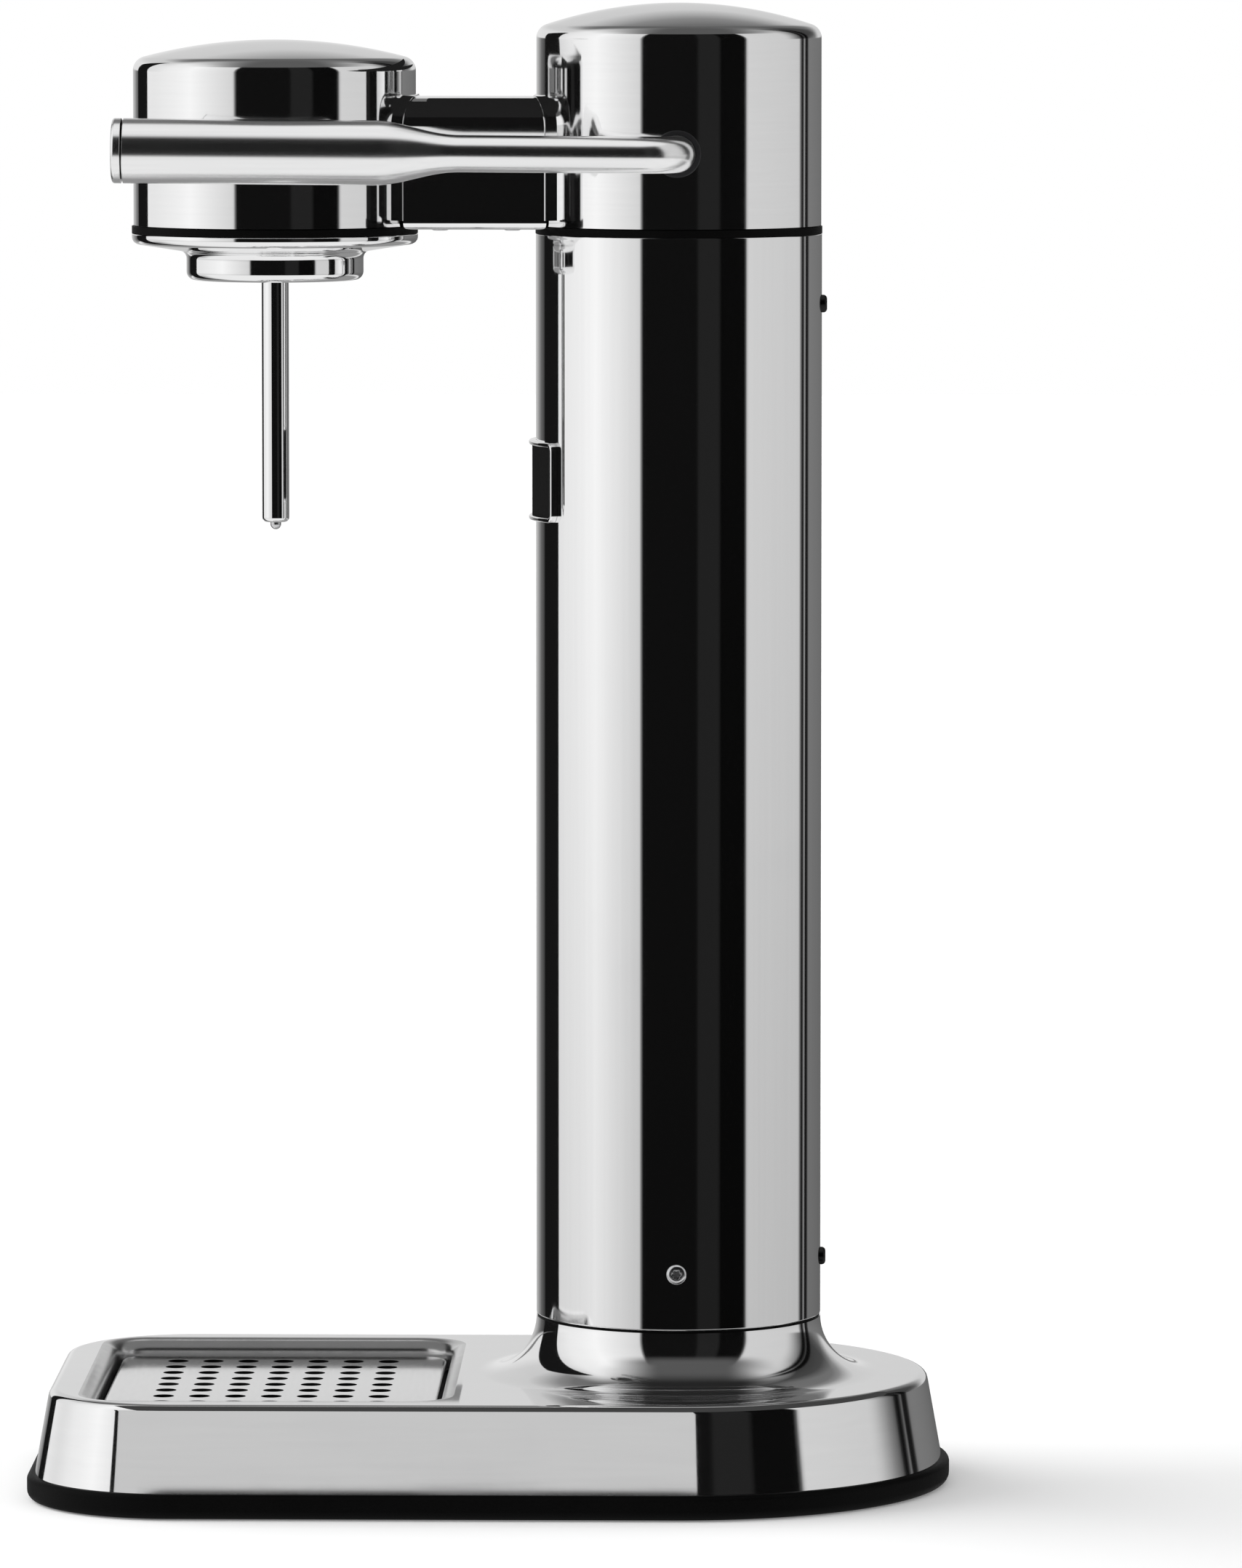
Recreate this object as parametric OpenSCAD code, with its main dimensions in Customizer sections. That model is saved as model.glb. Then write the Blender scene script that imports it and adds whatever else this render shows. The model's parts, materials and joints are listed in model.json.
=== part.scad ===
// Counter-top sparkling water maker with a side lever.
// Origin: middle of the footprint, on the table. Front is -Y, the lever is on the +X side, +Z is up.

/* [Base] */
// Width of the foot
base_w = 153; // [140:1:170]
// Depth of the foot, front to back
base_d = 258; // [245:1:290]
// Height of the base's flat top
base_h = 31; // [28:0.5:36]
// Height of the rubber foot
foot_h = 7; // [5:0.5:9]
// Width of the rubber foot's section
foot_w = 9; // [8:0.5:12]
// How far the foot stands proud of the skirt
foot_lip = 2.2; // [1:0.1:3]
// How far the skirt leans in from foot to top
skirt_lean = 4.3; // [3:0.1:6]
// Radius of the foot's front corners in plan
front_corner_r = 42; // [32:1:55]
// Radius of the skirt's top edge
base_edge_r = 2.5; // [2:0.1:4]
// Thickness of the pressed base
base_wall = 1.5; // [1:0.1:2]
// Radius of the flare from base to column
neck_r = 16; // [12:0.5:20]
// Thickness of the floor plate
floor_t = 2; // [1:0.1:3]

/* [Drip well] */
// Foot edge to the well's side wall
well_side = 18.5; // [16:0.5:25]
// Foot edge to the well's front wall
well_front = 19.4; // [17:0.1:26]
// Flare of the neck to the well's back wall
well_back = 9.6; // [8:0.1:15]
// Radius of the well's corners in plan
well_corner_r = 9.5; // [8:0.5:14]
// Radius of the well's rolled rim
well_rim_r = 4; // [3:0.1:5]
// Depth of the well's floor below the base top
well_depth = 17; // [14:0.5:18]
// Width of the ledge that carries the drip plate
ledge_w = 5; // [4:0.5:7]
// Drip plate's top below the base top
plate_drop = 4.5; // [3.5:0.1:6]
// Gap around the drip plate
plate_gap = 1.5; // [1:0.1:2]
// Thickness of the drip plate
plate_t = 1.2; // [0.8:0.1:1.6]
// Height of the drip plate's turned-down edge
plate_edge_h = 4; // [3:0.1:5]
// Diameter of the drip holes
hole_d = 5.9; // [4:0.1:7]
// Distance between drip holes along a row
hole_pitch = 10.07; // [9:0.01:12]
// Distance between the rows of drip holes
hole_row_pitch = 11.2; // [9:0.1:13]
// Plain margin from the plate's ends to the outer holes' centres
hole_margin = 16; // [13:0.5:20]
// Plain margin from the plate's sides to the outer rows' centres
hole_row_margin = 11.5; // [9:0.5:15]

/* [Column] */
// Radius of the column tube
column_r = 40; // [38:0.5:44]
// Wall of the column tube
column_wall = 1.2; // [1:0.1:2]
// Length of the column tube
column_len = 304; // [280:1:330]
// Height of the dark seam at the column's foot
seam_h = 0.6; // [0.5:0.1:1]
// Height of the gaskets under both caps
gasket_h = 2; // [1.5:0.1:3]
// Height of the ring inside the column's foot
foot_ring_h = 30; // [25:1:40]
// Height of the cylinder guide
guide_h = 12; // [8:1:20]
// Guide's place above the column's foot
guide_up = 120; // [60:1:180]
// Height of the lower screws above the column's foot
low_screw_up = 16; // [10:0.5:18]
// Badge plate's height
badge_h = 22.3; // [15:0.1:30]
// Half of the angle the badge plate spans
badge_half_angle = 33; // [20:1:40]
// Thickness of the badge plate
badge_t = 1.9; // [1.2:0.1:2.5]
// Badge plate's middle below the column's top
badge_down = 68.8; // [40:0.1:100]
// Width of the badge plate's raised rim
badge_rim = 1; // [0.6:0.1:2]

/* [Upper housing] */
// Height of the column cap, from gasket to apex
cap_h = 62.2; // [58:0.1:70]
// Column cap's step in from the tube
cap_inset = 0.2; // [0.1:0.1:1]
// Height of the head cap, from gasket to apex
head_h = 51.9; // [48:0.1:58]
// Radius of the head cap
head_r = 39.5; // [36:0.5:42]
// Column axis to head axis
head_reach = 113; // [104:1:120]
// Radius of the caps' shoulders
shoulder_r = 4; // [3:0.1:5]
// Rise of the column cap's dome above its shoulder's start
cap_dome_rise = 9.8; // [8:0.1:12]
// Rise of the head cap's dome above its shoulder's start
head_dome_rise = 8.6; // [7:0.1:11]
// Wall of the housing
housing_wall = 2; // [1.5:0.1:2.5]
// Width of the arm
arm_w = 35; // [32:0.5:40]
// Top of the arm above the gasket
arm_h = 34; // [31:0.1:38]
// Radius of the arm's top edges
arm_edge_r = 6; // [4:0.1:8]
// Radius where the arm's sides run into the caps
arm_fillet_r = 2.5; // [2:0.1:5]
// Thickness of the plate that closes the arm
arm_plate_t = 2.6; // [2:0.1:4]

/* [Head] */
// Thickness of the head flange's rim
flange_t = 2.8; // [2.4:0.1:4]
// Radius of the flange rim's lower edge
flange_edge_r = 2.1; // [1:0.1:2.3]
// Depth of the flange's taper below its rim
flange_taper_h = 4.6; // [4:0.1:6]
// Radius of the hollow that leads from the taper to the collar
neck_fillet_r = 2.2; // [1:0.1:3]
// Outer radius of the bottle collar
collar_r = 24.75; // [23:0.25:28]
// Inner radius of the bottle collar
collar_bore_r = 20.5; // [19:0.1:21.5]
// Height of the bottle collar
collar_h = 5.7; // [4:0.1:8]
// Radius of the collar's lower outer edge
collar_edge_r = 2.4; // [1:0.1:3]
// Thickness of the bottle seal
seal_t = 2; // [1.5:0.1:3]
// Radius of the carbonation tube
tube_r = 3.8; // [3:0.1:4.5]
// Bore of the carbonation tube
tube_bore_r = 2.4; // [1.5:0.1:2.6]
// Tube's reach below the collar
tube_reach = 67.9; // [50:0.1:80]
// Nozzle tip's reach below the tube
tip_h = 2.1; // [1.5:0.1:4]
// Radius of the nozzle manifold
manifold_r = 12.8; // [11:0.1:15]
// Height of the manifold above the flange
manifold_h = 20; // [18:0.5:24]

/* [Lever] */
// Lever axis above the gasket
lever_up = 21.1; // [19:0.1:23]
// Gap from column to the lever's middle line
lever_out = 13; // [12:0.5:18]
// Radius of the lever's rod
rod_r = 5.1; // [4.5:0.1:6]
// Radius of the lever's handle
handle_r = 8.95; // [7.5:0.05:10]
// Bend radius of the rod's middle line
bend_r = 11; // [9:0.5:12]
// Pivot to the handle's end
lever_len = 154.9; // [140:0.1:170]
// Pivot to the start of the full handle
handle_from = 83.7; // [75:0.1:100]
// Length of the taper from rod to handle
taper_len = 24.1; // [15:0.1:35]
// Thickness of the handle's end cap
end_cap_t = 2.6; // [2:0.1:4]
// Rise of the resting lever
lever_tilt = 0.45; // [0:0.05:2]
// Turn of the lever from rest to its stop
lever_range = 35; // [25:1:40]

/* [Valve] */
// Offset of the cam's middle from the lever axis
cam_e = 5; // [4:0.1:6]
// Radius of the cam
cam_r = 9; // [8.5:0.1:11]
// Width of the cam
cam_w = 12; // [8:0.5:14]
// Radius of the inner lever shaft
shaft_r = 4; // [3:0.1:4.5]
// Length of the plunger spring at rest
spring_len = 9; // [8:0.1:12]
// Radius of the valve block
block_r = 19; // [17:0.5:21]
// Height of the valve block
block_h = 30; // [26:0.5:34]
// Radius of the cylinder valve
valve_r = 11; // [9:0.5:12]
// Height of the cylinder valve
valve_h = 30; // [25:0.5:36]
// Radius of the gas cylinder
cylinder_r = 30; // [26:0.5:32]
// Wall of the gas cylinder
cylinder_wall = 2.5; // [2:0.1:4]
// Gas cylinder's bottom above the table
cylinder_lift = 11; // [8:0.5:20]
// Radius of the gas hose
hose_r = 2.5; // [2:0.1:3]
// Bore of the gas hose
hose_bore_r = 1.5; // [1:0.1:1.6]
// Hose's distance to the side of the middle plane
hose_side = 9; // [8:0.5:10]

/* [Clearances] */
// Running clearance of shafts and plungers, on the radius
run_gap = 0.05; // [0.02:0.01:0.09]
// Gap between pieces that slip into each other
slip_gap = 0.1; // [0.05:0.05:0.2]
// Gap between pieces of different bodies
body_gap = 0.3; // [0.2:0.05:0.5]

/* [Hidden] */
$fn = 96;
dome_fn = 360;
over = 1;
lap = 0.8;
arc_steps = 6;
column_y = base_d / 2 - base_w / 2;
head_y = column_y - head_reach;
base_half = base_w / 2;
lean_angle = atan(skirt_lean / (base_h - foot_h));
edge_band = foot_lip + skirt_lean + base_edge_r + 3;
flare_r = column_r + neck_r;
neck_top = base_h + neck_r;
seam_inset = 0.3;
column_z = neck_top + seam_h;
column_top = column_z + column_len;
cap_z = column_top + gasket_h;
cap_r = column_r - cap_inset;
arm_plate_sink = 0.6;
arm_bottom = cap_z - arm_plate_sink + arm_plate_t;
arm_top = cap_z + arm_h;

well_half = base_half - well_side;
well_y0 = -base_d / 2 + well_front;
well_y1 = column_y - flare_r - well_back;
well_floor = base_h - well_depth;
plate_top = base_h - plate_drop;
ledge_z = plate_top - plate_edge_h - body_gap;
plate_half = well_half - plate_gap;
plate_y0 = well_y0 + plate_gap;
plate_y1 = well_y1 - plate_gap;
plate_corner_r = well_corner_r - plate_gap;
plate_mid_y = (plate_y0 + plate_y1) / 2;
hole_rows = floor((2 * plate_half - 2 * hole_row_margin) / hole_row_pitch) + 1;
hole_cols = floor((plate_y1 - plate_y0 - 2 * hole_margin) / hole_pitch) + 1;

floor_inset = foot_lip + base_wall / cos(lean_angle) + floor_t * tan(lean_angle) + body_gap;
boss_r = 3.5;
screw_r = 1.5;
screw_bite = 10;
screw_hole_depth = screw_bite + 4;
floor_screw_h = 2;
side_screw_r = 2.8;
side_screw_h = 1.2;
rear_screw_r = 2.5;
rear_screw_h = 1.65;
arm_screw_r = 2.5;
arm_screw_h = 0.8;
sheet_screw_l = 4.5;
frame_screw_l = 6;
boss_ring_r = (flare_r + base_half - edge_band) / 2;
boss_points = [
    for (s = [-1, 1]) [s * boss_ring_r * cos(45), column_y + boss_ring_r * sin(45)],
    for (s = [-1, 1]) [s * (well_half - 2 * boss_r), well_y1 + well_rim_r + boss_r + over]
];

inner_r = column_r - column_wall - slip_gap;
lever_z = cap_z + lever_up;
lever_x = column_r + lever_out;
cam_lift = cam_e * sin(lever_range / 2);
plunger_top = lever_z - cam_r + cam_lift - body_gap;
plunger_head_t = 2.5;
plunger_head_r = 7.5;
plunger_r = 3;
plunger_stroke = 2 * cam_lift;
block_top = plunger_top - plunger_head_t - spring_len;
block_z = block_top - block_h;
socket_h = 16;
frame_h = 13;
frame_top = block_z + frame_h;
block_flange_r = block_r + 5;
block_flange_t = 3;
cylinder_seal_t = 1.5;
valve_top = block_z + socket_h - cylinder_seal_t;
valve_z = valve_top - valve_h;
plunger_foot = valve_top + plunger_stroke + body_gap;
pin_depth = 8;
pin_hole_depth = pin_depth + 2 * plunger_stroke;
pin_r = 2;
cylinder_neck_r = valve_r + 3;
cylinder_neck_h = 12;
yoke_in = cam_w / 2 + 3;
yoke_t = 3;
yoke_w = 16;
clip_t = 1;
journal_end = cap_r - 10;
bush_r = rod_r + 1.5;
bush_l = 5.8;
bush_sink = 0.7;
bush_flange_t = 3;
bush_flange_r = bush_r + 2.4;
end_line = 0.35;
spigot_r = handle_r - 2;
spigot_h = 8;
shaft_fit = 0.02;

flange_r = column_r;
flange_top = cap_z - gasket_h;
flange_z = flange_top - flange_t;
taper_z = flange_z - flange_taper_h;
collar_z = taper_z - collar_h;
boss_nose_r = 8;
nose_z = taper_z - seal_t;
tube_top = flange_top;
tube_z = collar_z - tube_reach;
hose_z = arm_bottom + 8.5;
port_r = 5;
port_down = 7;
port_z = block_top - port_down;
nut_t = 5;
relief_x = -(manifold_r + 11);
relief_h = 18;
relief_r = 6;
relief_bore_r = 4;
relief_disc_h = 3;
relief_stem_r = 1.6;
relief_lid_t = 2;
relief_port_r = 1.5;
relief_spring_r = 2.9;
relief_wire_r = 0.3;
relief_spring_turns = 7;
cap_gasket_w = 3;
head_gasket_w = 3.5;
gasket_proud = 0.1;
manifold_rim_w = 3;
manifold_rim_t = 3;
jet_r = 0.45;
spring_r = 5;
spring_wire_r = 0.4;
spring_turns = 5;
shaft_end = 1.5;
clip_w = 2.5;
socket_share = 0.45;
cylinder_way = 3;
foot_ring_down = 5;
foot_ring_t = 3;
neck_lap = 6;
neck_bore_r = valve_r - 2;
valve_hex_r = valve_r + 3;
valve_hex_h = 6;
plug_up = 2;
low_screw_z = column_z + low_screw_up;
rear_screw_z = (block_z + frame_top) / 2;
arm_gap_y0 = head_y + head_r;
arm_gap_y1 = column_y - cap_r;
arm_screw_ys = [for (t = [0.2, 0.8]) arm_gap_y0 + t * (arm_gap_y1 - arm_gap_y0)];
hose_bend_r = 6;
hose_y0 = column_y - block_r;
hose_y1 = head_y + manifold_r + 2;
hose_turn_y = hose_y0 - nut_t - 1;

// Sweeps a profile round a rounded rectangle. The profile's x is the distance outwards, its y is height.
module rail(half, y0, y1, r0, r1) {
    for (a = [0, 90])
        translate([a == 0 ? half - r1 : r1 - half, y1 - r1, 0])
            rotate([0, 0, a]) rotate_extrude(angle = 90) translate([r1, 0]) children();
    for (a = [180, 270])
        translate([a == 270 ? half - r0 : r0 - half, y0 + r0, 0])
            rotate([0, 0, a]) rotate_extrude(angle = 90) translate([r0, 0]) children();
    translate([half, y1 - r1, 0]) rotate([90, 0, 0]) linear_extrude(y1 - r1 - y0 - r0) children();
    translate([-half, y0 + r0, 0]) rotate([90, 0, 180]) linear_extrude(y1 - r1 - y0 - r0) children();
    translate([half - r0, y0, 0]) rotate([90, 0, 270]) linear_extrude(2 * (half - r0)) children();
    if (half > r1)
        translate([r1 - half, y1, 0]) rotate([90, 0, 90]) linear_extrude(2 * (half - r1)) children();
}

// Flat rounded rectangle with its own front and back corner radii.
module rounded_plan(half, y0, y1, r0, r1) {
    translate([-half, y0 + r0]) square([2 * half, y1 - r1 - y0 - r0]);
    translate([r0 - half, y0]) square([2 * (half - r0), r0]);
    for (s = [-1, 1]) {
        translate([s * (half - r0), y0 + r0]) circle(r0);
        translate([s * (half - r1), y1 - r1]) circle(r1);
    }
    if (half > r1)
        translate([r1 - half, y1 - r1]) square([2 * (half - r1), r1]);
}

// The base's outline, drawn in by an inset.
module base_plan(inset) {
    rounded_plan(base_half - inset, inset - base_d / 2, base_d / 2 - inset,
        front_corner_r - inset, base_half - inset);
}

module base_rail() {
    rail(base_half, -base_d / 2, base_d / 2, front_corner_r, base_half) children();
}

module well_plan(grow) {
    rounded_plan(well_half + grow, well_y0 - grow, well_y1 + grow, well_corner_r + grow, well_corner_r + grow);
}

module ring(r_out, r_in, h) {
    difference() {
        cylinder(r = r_out, h = h);
        translate([0, 0, -over]) cylinder(r = r_in, h = h + 2 * over);
    }
}

// A pan-head screw, its head's seat at z 0 and its shank going down, with a hexagon socket.
module pan_screw(head_r, head_h, shank_l) {
    ball_r = (head_r * head_r + head_h * head_h) / (2 * head_h);
    difference() {
        intersection() {
            translate([0, 0, head_h - ball_r]) sphere(ball_r);
            cylinder(r = head_r, h = head_h);
        }
        translate([0, 0, head_h * socket_share]) cylinder(r = head_r * socket_share, h = head_h, $fn = 6);
    }
    translate([0, 0, -shank_l]) cylinder(r = screw_r, h = shank_l);
}

// One unbroken wire wound as a helix that stands on z 0.
module coil_spring(r, wire_r, h, turns) {
    rings = 8 * turns;
    pts = [for (i = [0 : rings]) for (j = [0 : 5])
        let (a = 360 * turns * i / rings, q = r + wire_r * cos(60 * j))
        [q * cos(a), q * sin(a), wire_r + (h - 2 * wire_r) * i / rings + wire_r * sin(60 * j)]];
    sides = [for (i = [0 : rings - 1]) for (j = [0 : 5]) for (half = [0, 1])
        let (p = 6 * i + j, q = 6 * i + (j + 1) % 6)
        half == 0 ? [p, p + 6, q] : [q, p + 6, q + 6]];
    start = [for (j = [1 : 4]) [0, j, j + 1]];
    end = [for (j = [1 : 4]) [6 * rings, 6 * rings + j + 1, 6 * rings + j]];
    polyhedron(points = pts, faces = concat(sides, start, end));
}

// Base

// Points on an arc, from one angle to another.
function arc(mid, r, a0, a1) =
    [for (i = [0 : arc_steps]) let (a = a0 + (a1 - a0) * i / arc_steps) mid + r * [cos(a), sin(a)]];

// Leaning skirt and the rounded edge that turns it into the flat top.
module skirt_sheet() {
    skirt_at = function (z) -foot_lip - (z - foot_h) * tan(lean_angle);
    mid_z = base_h - base_edge_r;
    mid = [skirt_at(mid_z) - base_edge_r / cos(lean_angle), mid_z];
    polygon(concat(
        [[skirt_at(foot_h), foot_h]],
        arc(mid, base_edge_r, lean_angle, 90),
        [[-edge_band, base_h], [-edge_band, base_h - base_wall]],
        arc(mid, base_edge_r - base_wall, 90, lean_angle),
        [[skirt_at(foot_h) - base_wall / cos(lean_angle), foot_h]]));
}

// Rolled rim of the drip well, with a narrow flat that laps the base top.
module rim_sheet() {
    translate([well_rim_r, base_h - well_rim_r]) intersection() {
        difference() {
            circle(well_rim_r);
            circle(well_rim_r - base_wall);
        }
        translate([-well_rim_r, 0]) square(well_rim_r);
    }
    translate([well_rim_r, base_h - base_wall]) square([lap, base_wall]);
}

// Well below its rim: wall, ledge for the drip plate, lower wall and floor.
module well_pan() {
    difference() {
        translate([0, 0, well_floor - base_wall])
            linear_extrude(base_h - well_rim_r - well_floor + base_wall) well_plan(base_wall);
        translate([0, 0, ledge_z]) linear_extrude(base_h) well_plan(0);
        translate([0, 0, well_floor]) linear_extrude(base_h) well_plan(-ledge_w);
        translate([0, 0, well_floor - base_wall - over]) linear_extrude(ledge_z - well_floor + over)
            difference() {
            well_plan(base_wall + over);
            well_plan(base_wall - ledge_w);
        }
    }
}

module neck_sheet() {
    translate([flare_r, neck_top]) intersection() {
        difference() {
            circle(neck_r + base_wall);
            circle(neck_r);
        }
        translate([-flare_r, -neck_r - base_wall]) square([flare_r, neck_r + base_wall]);
    }
}

module base_shell() {
    color("silver") difference() {
        union() {
            base_rail() skirt_sheet();
            translate([0, 0, base_h - base_wall]) linear_extrude(base_wall) difference() {
                base_plan(edge_band - lap);
                well_plan(well_rim_r + lap / 2);
                translate([0, column_y]) circle(flare_r);
            }
            well_pan();
            rail(well_half, well_y0, well_y1, well_corner_r, well_corner_r) rim_sheet();
            translate([0, column_y, 0]) rotate_extrude() neck_sheet();
            for (p = boss_points)
                translate([p[0], p[1], foot_h + floor_t])
                    cylinder(r = boss_r, h = base_h - base_wall / 2 - foot_h - floor_t);
        }
        for (p = boss_points)
            translate([p[0], p[1], foot_h]) cylinder(r = screw_r + slip_gap, h = floor_t + screw_hole_depth);
    }
}

module foot_section() {
    low_r = 2.5;
    high_r = 1.5;
    translate([-low_r, low_r]) circle(low_r);
    translate([-high_r, foot_h - high_r]) circle(high_r);
    translate([-foot_w, 0]) square([foot_w - low_r, foot_h]);
    translate([-low_r, low_r]) square([low_r, foot_h - low_r - high_r]);
    translate([-low_r, low_r]) square([low_r - high_r, foot_h - low_r]);
}

module base_foot() {
    color("black") base_rail() foot_section();
}

module base_plate() {
    color("dimgray") translate([0, 0, foot_h]) difference() {
        linear_extrude(floor_t) base_plan(floor_inset);
        translate([0, column_y, -over]) cylinder(r = cylinder_r + cylinder_way, h = floor_t + 2 * over);
        for (p = boss_points)
            translate([p[0], p[1], -over]) cylinder(r = screw_r + slip_gap, h = floor_t + 2 * over);
    }
}

module floor_screws() {
    color("gray") for (p = boss_points)
        translate([p[0], p[1], foot_h]) mirror([0, 0, 1])
            pan_screw(2 * screw_r, floor_screw_h, floor_t + screw_bite);
}

module plate_plan(inset) {
    rounded_plan(plate_half - inset, plate_y0 + inset, plate_y1 - inset,
        plate_corner_r - inset, plate_corner_r - inset);
}

module drip_plate() {
    color("silver") difference() {
        translate([0, 0, plate_top - plate_edge_h]) linear_extrude(plate_edge_h) plate_plan(0);
        translate([0, 0, plate_top - plate_edge_h - over])
            linear_extrude(plate_edge_h - plate_t + over) plate_plan(plate_t);
        for (i = [0 : hole_rows - 1]) for (j = [0 : hole_cols - 1])
            translate([(i - (hole_rows - 1) / 2) * hole_row_pitch,
                plate_mid_y + (j - (hole_cols - 1) / 2) * hole_pitch, plate_top - plate_t - over])
                cylinder(d = hole_d, h = plate_t + 2 * over, $fn = 24);
    }
}

// Column

module foot_gasket() {
    color("black") translate([0, column_y, neck_top])
        ring(column_r - seam_inset, column_r - min(base_wall, column_wall), seam_h);
}

// Places a radial screw or hole on the column, turned from +X.
module on_column(angle, z) {
    translate([0, column_y, z]) rotate([0, 0, angle]) translate([column_r, 0, 0]) rotate([0, 90, 0])
        children();
}

module screw_hole() {
    cylinder(r = screw_r + slip_gap, h = column_r / 2, center = true);
}

module column_tube() {
    color("silver") difference() {
        translate([0, column_y, column_z]) ring(column_r, column_r - column_wall, column_len);
        for (a = [0, 90, 180]) on_column(a, low_screw_z) screw_hole();
        on_column(90, rear_screw_z) screw_hole();
    }
}

module foot_ring() {
    ring_r = column_r - max(base_wall, column_wall) - slip_gap;
    color("dimgray") difference() {
        translate([0, column_y, column_z - foot_ring_down]) ring(ring_r, ring_r - foot_ring_t, foot_ring_h);
        for (a = [0, 90, 180]) on_column(a, low_screw_z) screw_hole();
    }
}

module side_screws() {
    color("gray") for (a = [0, 180]) on_column(a, low_screw_z)
        pan_screw(side_screw_r, side_screw_h, sheet_screw_l);
}

module rear_screws() {
    color("gray") {
        on_column(90, low_screw_z) pan_screw(rear_screw_r, rear_screw_h, sheet_screw_l);
        on_column(90, rear_screw_z) pan_screw(rear_screw_r, rear_screw_h, frame_screw_l);
    }
}

module badge_plate() {
    seat_r = column_r + run_gap;
    rim_angle = badge_rim / column_r * 180 / PI;
    color("gray") translate([0, column_y, column_top - badge_down - badge_h / 2]) difference() {
        rotate([0, 0, 270 - badge_half_angle]) rotate_extrude(angle = 2 * badge_half_angle)
            translate([seat_r, 0]) square([badge_t, badge_h]);
        rotate([0, 0, 270 - badge_half_angle + rim_angle])
            rotate_extrude(angle = 2 * (badge_half_angle - rim_angle))
                translate([seat_r + badge_t * 0.6, badge_rim]) square([badge_t, badge_h - 2 * badge_rim]);
    }
}

module cylinder_guide() {
    color("dimgray") translate([0, column_y, column_z + guide_up])
        ring(inner_r, cylinder_r + body_gap, guide_h);
}

// Gas cylinder and valve

module gas_cylinder_section(inset) {
    r = cylinder_r - inset;
    neck_z = valve_z - cylinder_neck_h;
    shoulder_z = neck_z - cylinder_r;
    heel_r = 8;
    intersection() {
        union() {
            translate([0, shoulder_z]) circle(r);
            translate([r - heel_r, cylinder_lift + inset + heel_r]) circle(heel_r);
            translate([0, cylinder_lift + inset]) square([r - heel_r, heel_r]);
            translate([0, cylinder_lift + inset + heel_r])
                square([r, shoulder_z - cylinder_lift - inset - heel_r]);
        }
        square([cylinder_r, valve_z]);
    }
}

module gas_cylinder() {
    color("slategray") translate([0, column_y, 0]) difference() {
        union() {
            rotate_extrude() gas_cylinder_section(0);
            translate([0, 0, valve_z - cylinder_neck_h - neck_lap])
                cylinder(r = cylinder_neck_r, h = cylinder_neck_h + neck_lap);
        }
        rotate_extrude() gas_cylinder_section(cylinder_wall);
        translate([0, 0, valve_z - cylinder_neck_h - 2 * neck_lap])
            cylinder(r = neck_bore_r, h = cylinder_neck_h + 2 * neck_lap + over);
    }
}

module cylinder_valve() {
    color("goldenrod") translate([0, column_y, valve_z]) difference() {
        union() {
            cylinder(r = valve_r, h = valve_h);
            cylinder(r = valve_hex_r, h = valve_hex_h, $fn = 6);
            translate([0, 0, plug_up - cylinder_neck_h]) cylinder(r = neck_bore_r - slip_gap,
                h = cylinder_neck_h);
        }
        translate([0, 0, valve_h - pin_hole_depth]) cylinder(r = pin_r + run_gap, h = pin_hole_depth + over);
    }
}

module valve_pin() {
    color("gray") translate([0, column_y, valve_top - pin_depth])
        cylinder(r = pin_r, h = pin_depth + plunger_foot - valve_top);
}

module cylinder_seal() {
    color("black") translate([0, column_y, valve_top])
        ring(valve_r - 2, plunger_r + body_gap, cylinder_seal_t);
}

module valve_frame() {
    color("dimgray") difference() {
        translate([0, column_y, block_z]) ring(inner_r, block_r + slip_gap, frame_h);
        on_column(90, rear_screw_z) screw_hole();
    }
}

module valve_block() {
    color("silver") translate([0, column_y, 0]) difference() {
        union() {
            translate([0, 0, block_z]) cylinder(r = block_r, h = block_h);
            translate([0, 0, frame_top]) cylinder(r = block_flange_r, h = block_flange_t);
            translate([-hose_side, 0, port_z]) rotate([90, 0, 0]) cylinder(r = port_r, h = block_r);
        }
        translate([0, 0, block_z - over]) cylinder(r = valve_r + slip_gap, h = socket_h + over);
        translate([0, 0, block_z]) cylinder(r = plunger_r + run_gap, h = block_h + over);
        translate([-hose_side, 0, port_z]) rotate([90, 0, 0]) cylinder(r = hose_bore_r, h = block_r + over);
    }
}

module valve_plunger() {
    color("gainsboro") translate([0, column_y, 0]) {
        translate([0, 0, plunger_top - plunger_head_t]) cylinder(r = plunger_head_r, h = plunger_head_t);
        translate([0, 0, plunger_foot]) cylinder(r = plunger_r,
            h = plunger_top - plunger_head_t / 2 - plunger_foot);
    }
}

module plunger_spring() {
    color("gray") translate([0, column_y, block_top])
        coil_spring(spring_r, spring_wire_r, spring_len, spring_turns);
}

// Lever works

module shaft_yoke() {
    cheek_h = lever_z - block_top;
    color("dimgray") translate([0, column_y, block_top]) difference() {
        union() {
            translate([-yoke_in - yoke_t, -yoke_w / 2, 0]) cube([2 * (yoke_in + yoke_t), yoke_w, 2]);
            for (x = [-yoke_in - yoke_t, yoke_in]) translate([x, 0, 0]) {
                translate([0, -yoke_w / 2, 0]) cube([yoke_t, yoke_w, cheek_h]);
                translate([0, 0, cheek_h]) rotate([0, 90, 0]) cylinder(r = yoke_w / 2, h = yoke_t);
            }
        }
        translate([0, 0, -over]) cylinder(r = 7, h = 2 + 2 * over);
        translate([-yoke_in - yoke_t - over, 0, cheek_h]) rotate([0, 90, 0])
            cylinder(r = shaft_r + run_gap, h = 2 * (yoke_in + yoke_t + over));
    }
}

// Moves children to the lever's axis, with +X along the shaft.
module at_pivot() {
    translate([0, column_y, lever_z]) children();
}

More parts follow.
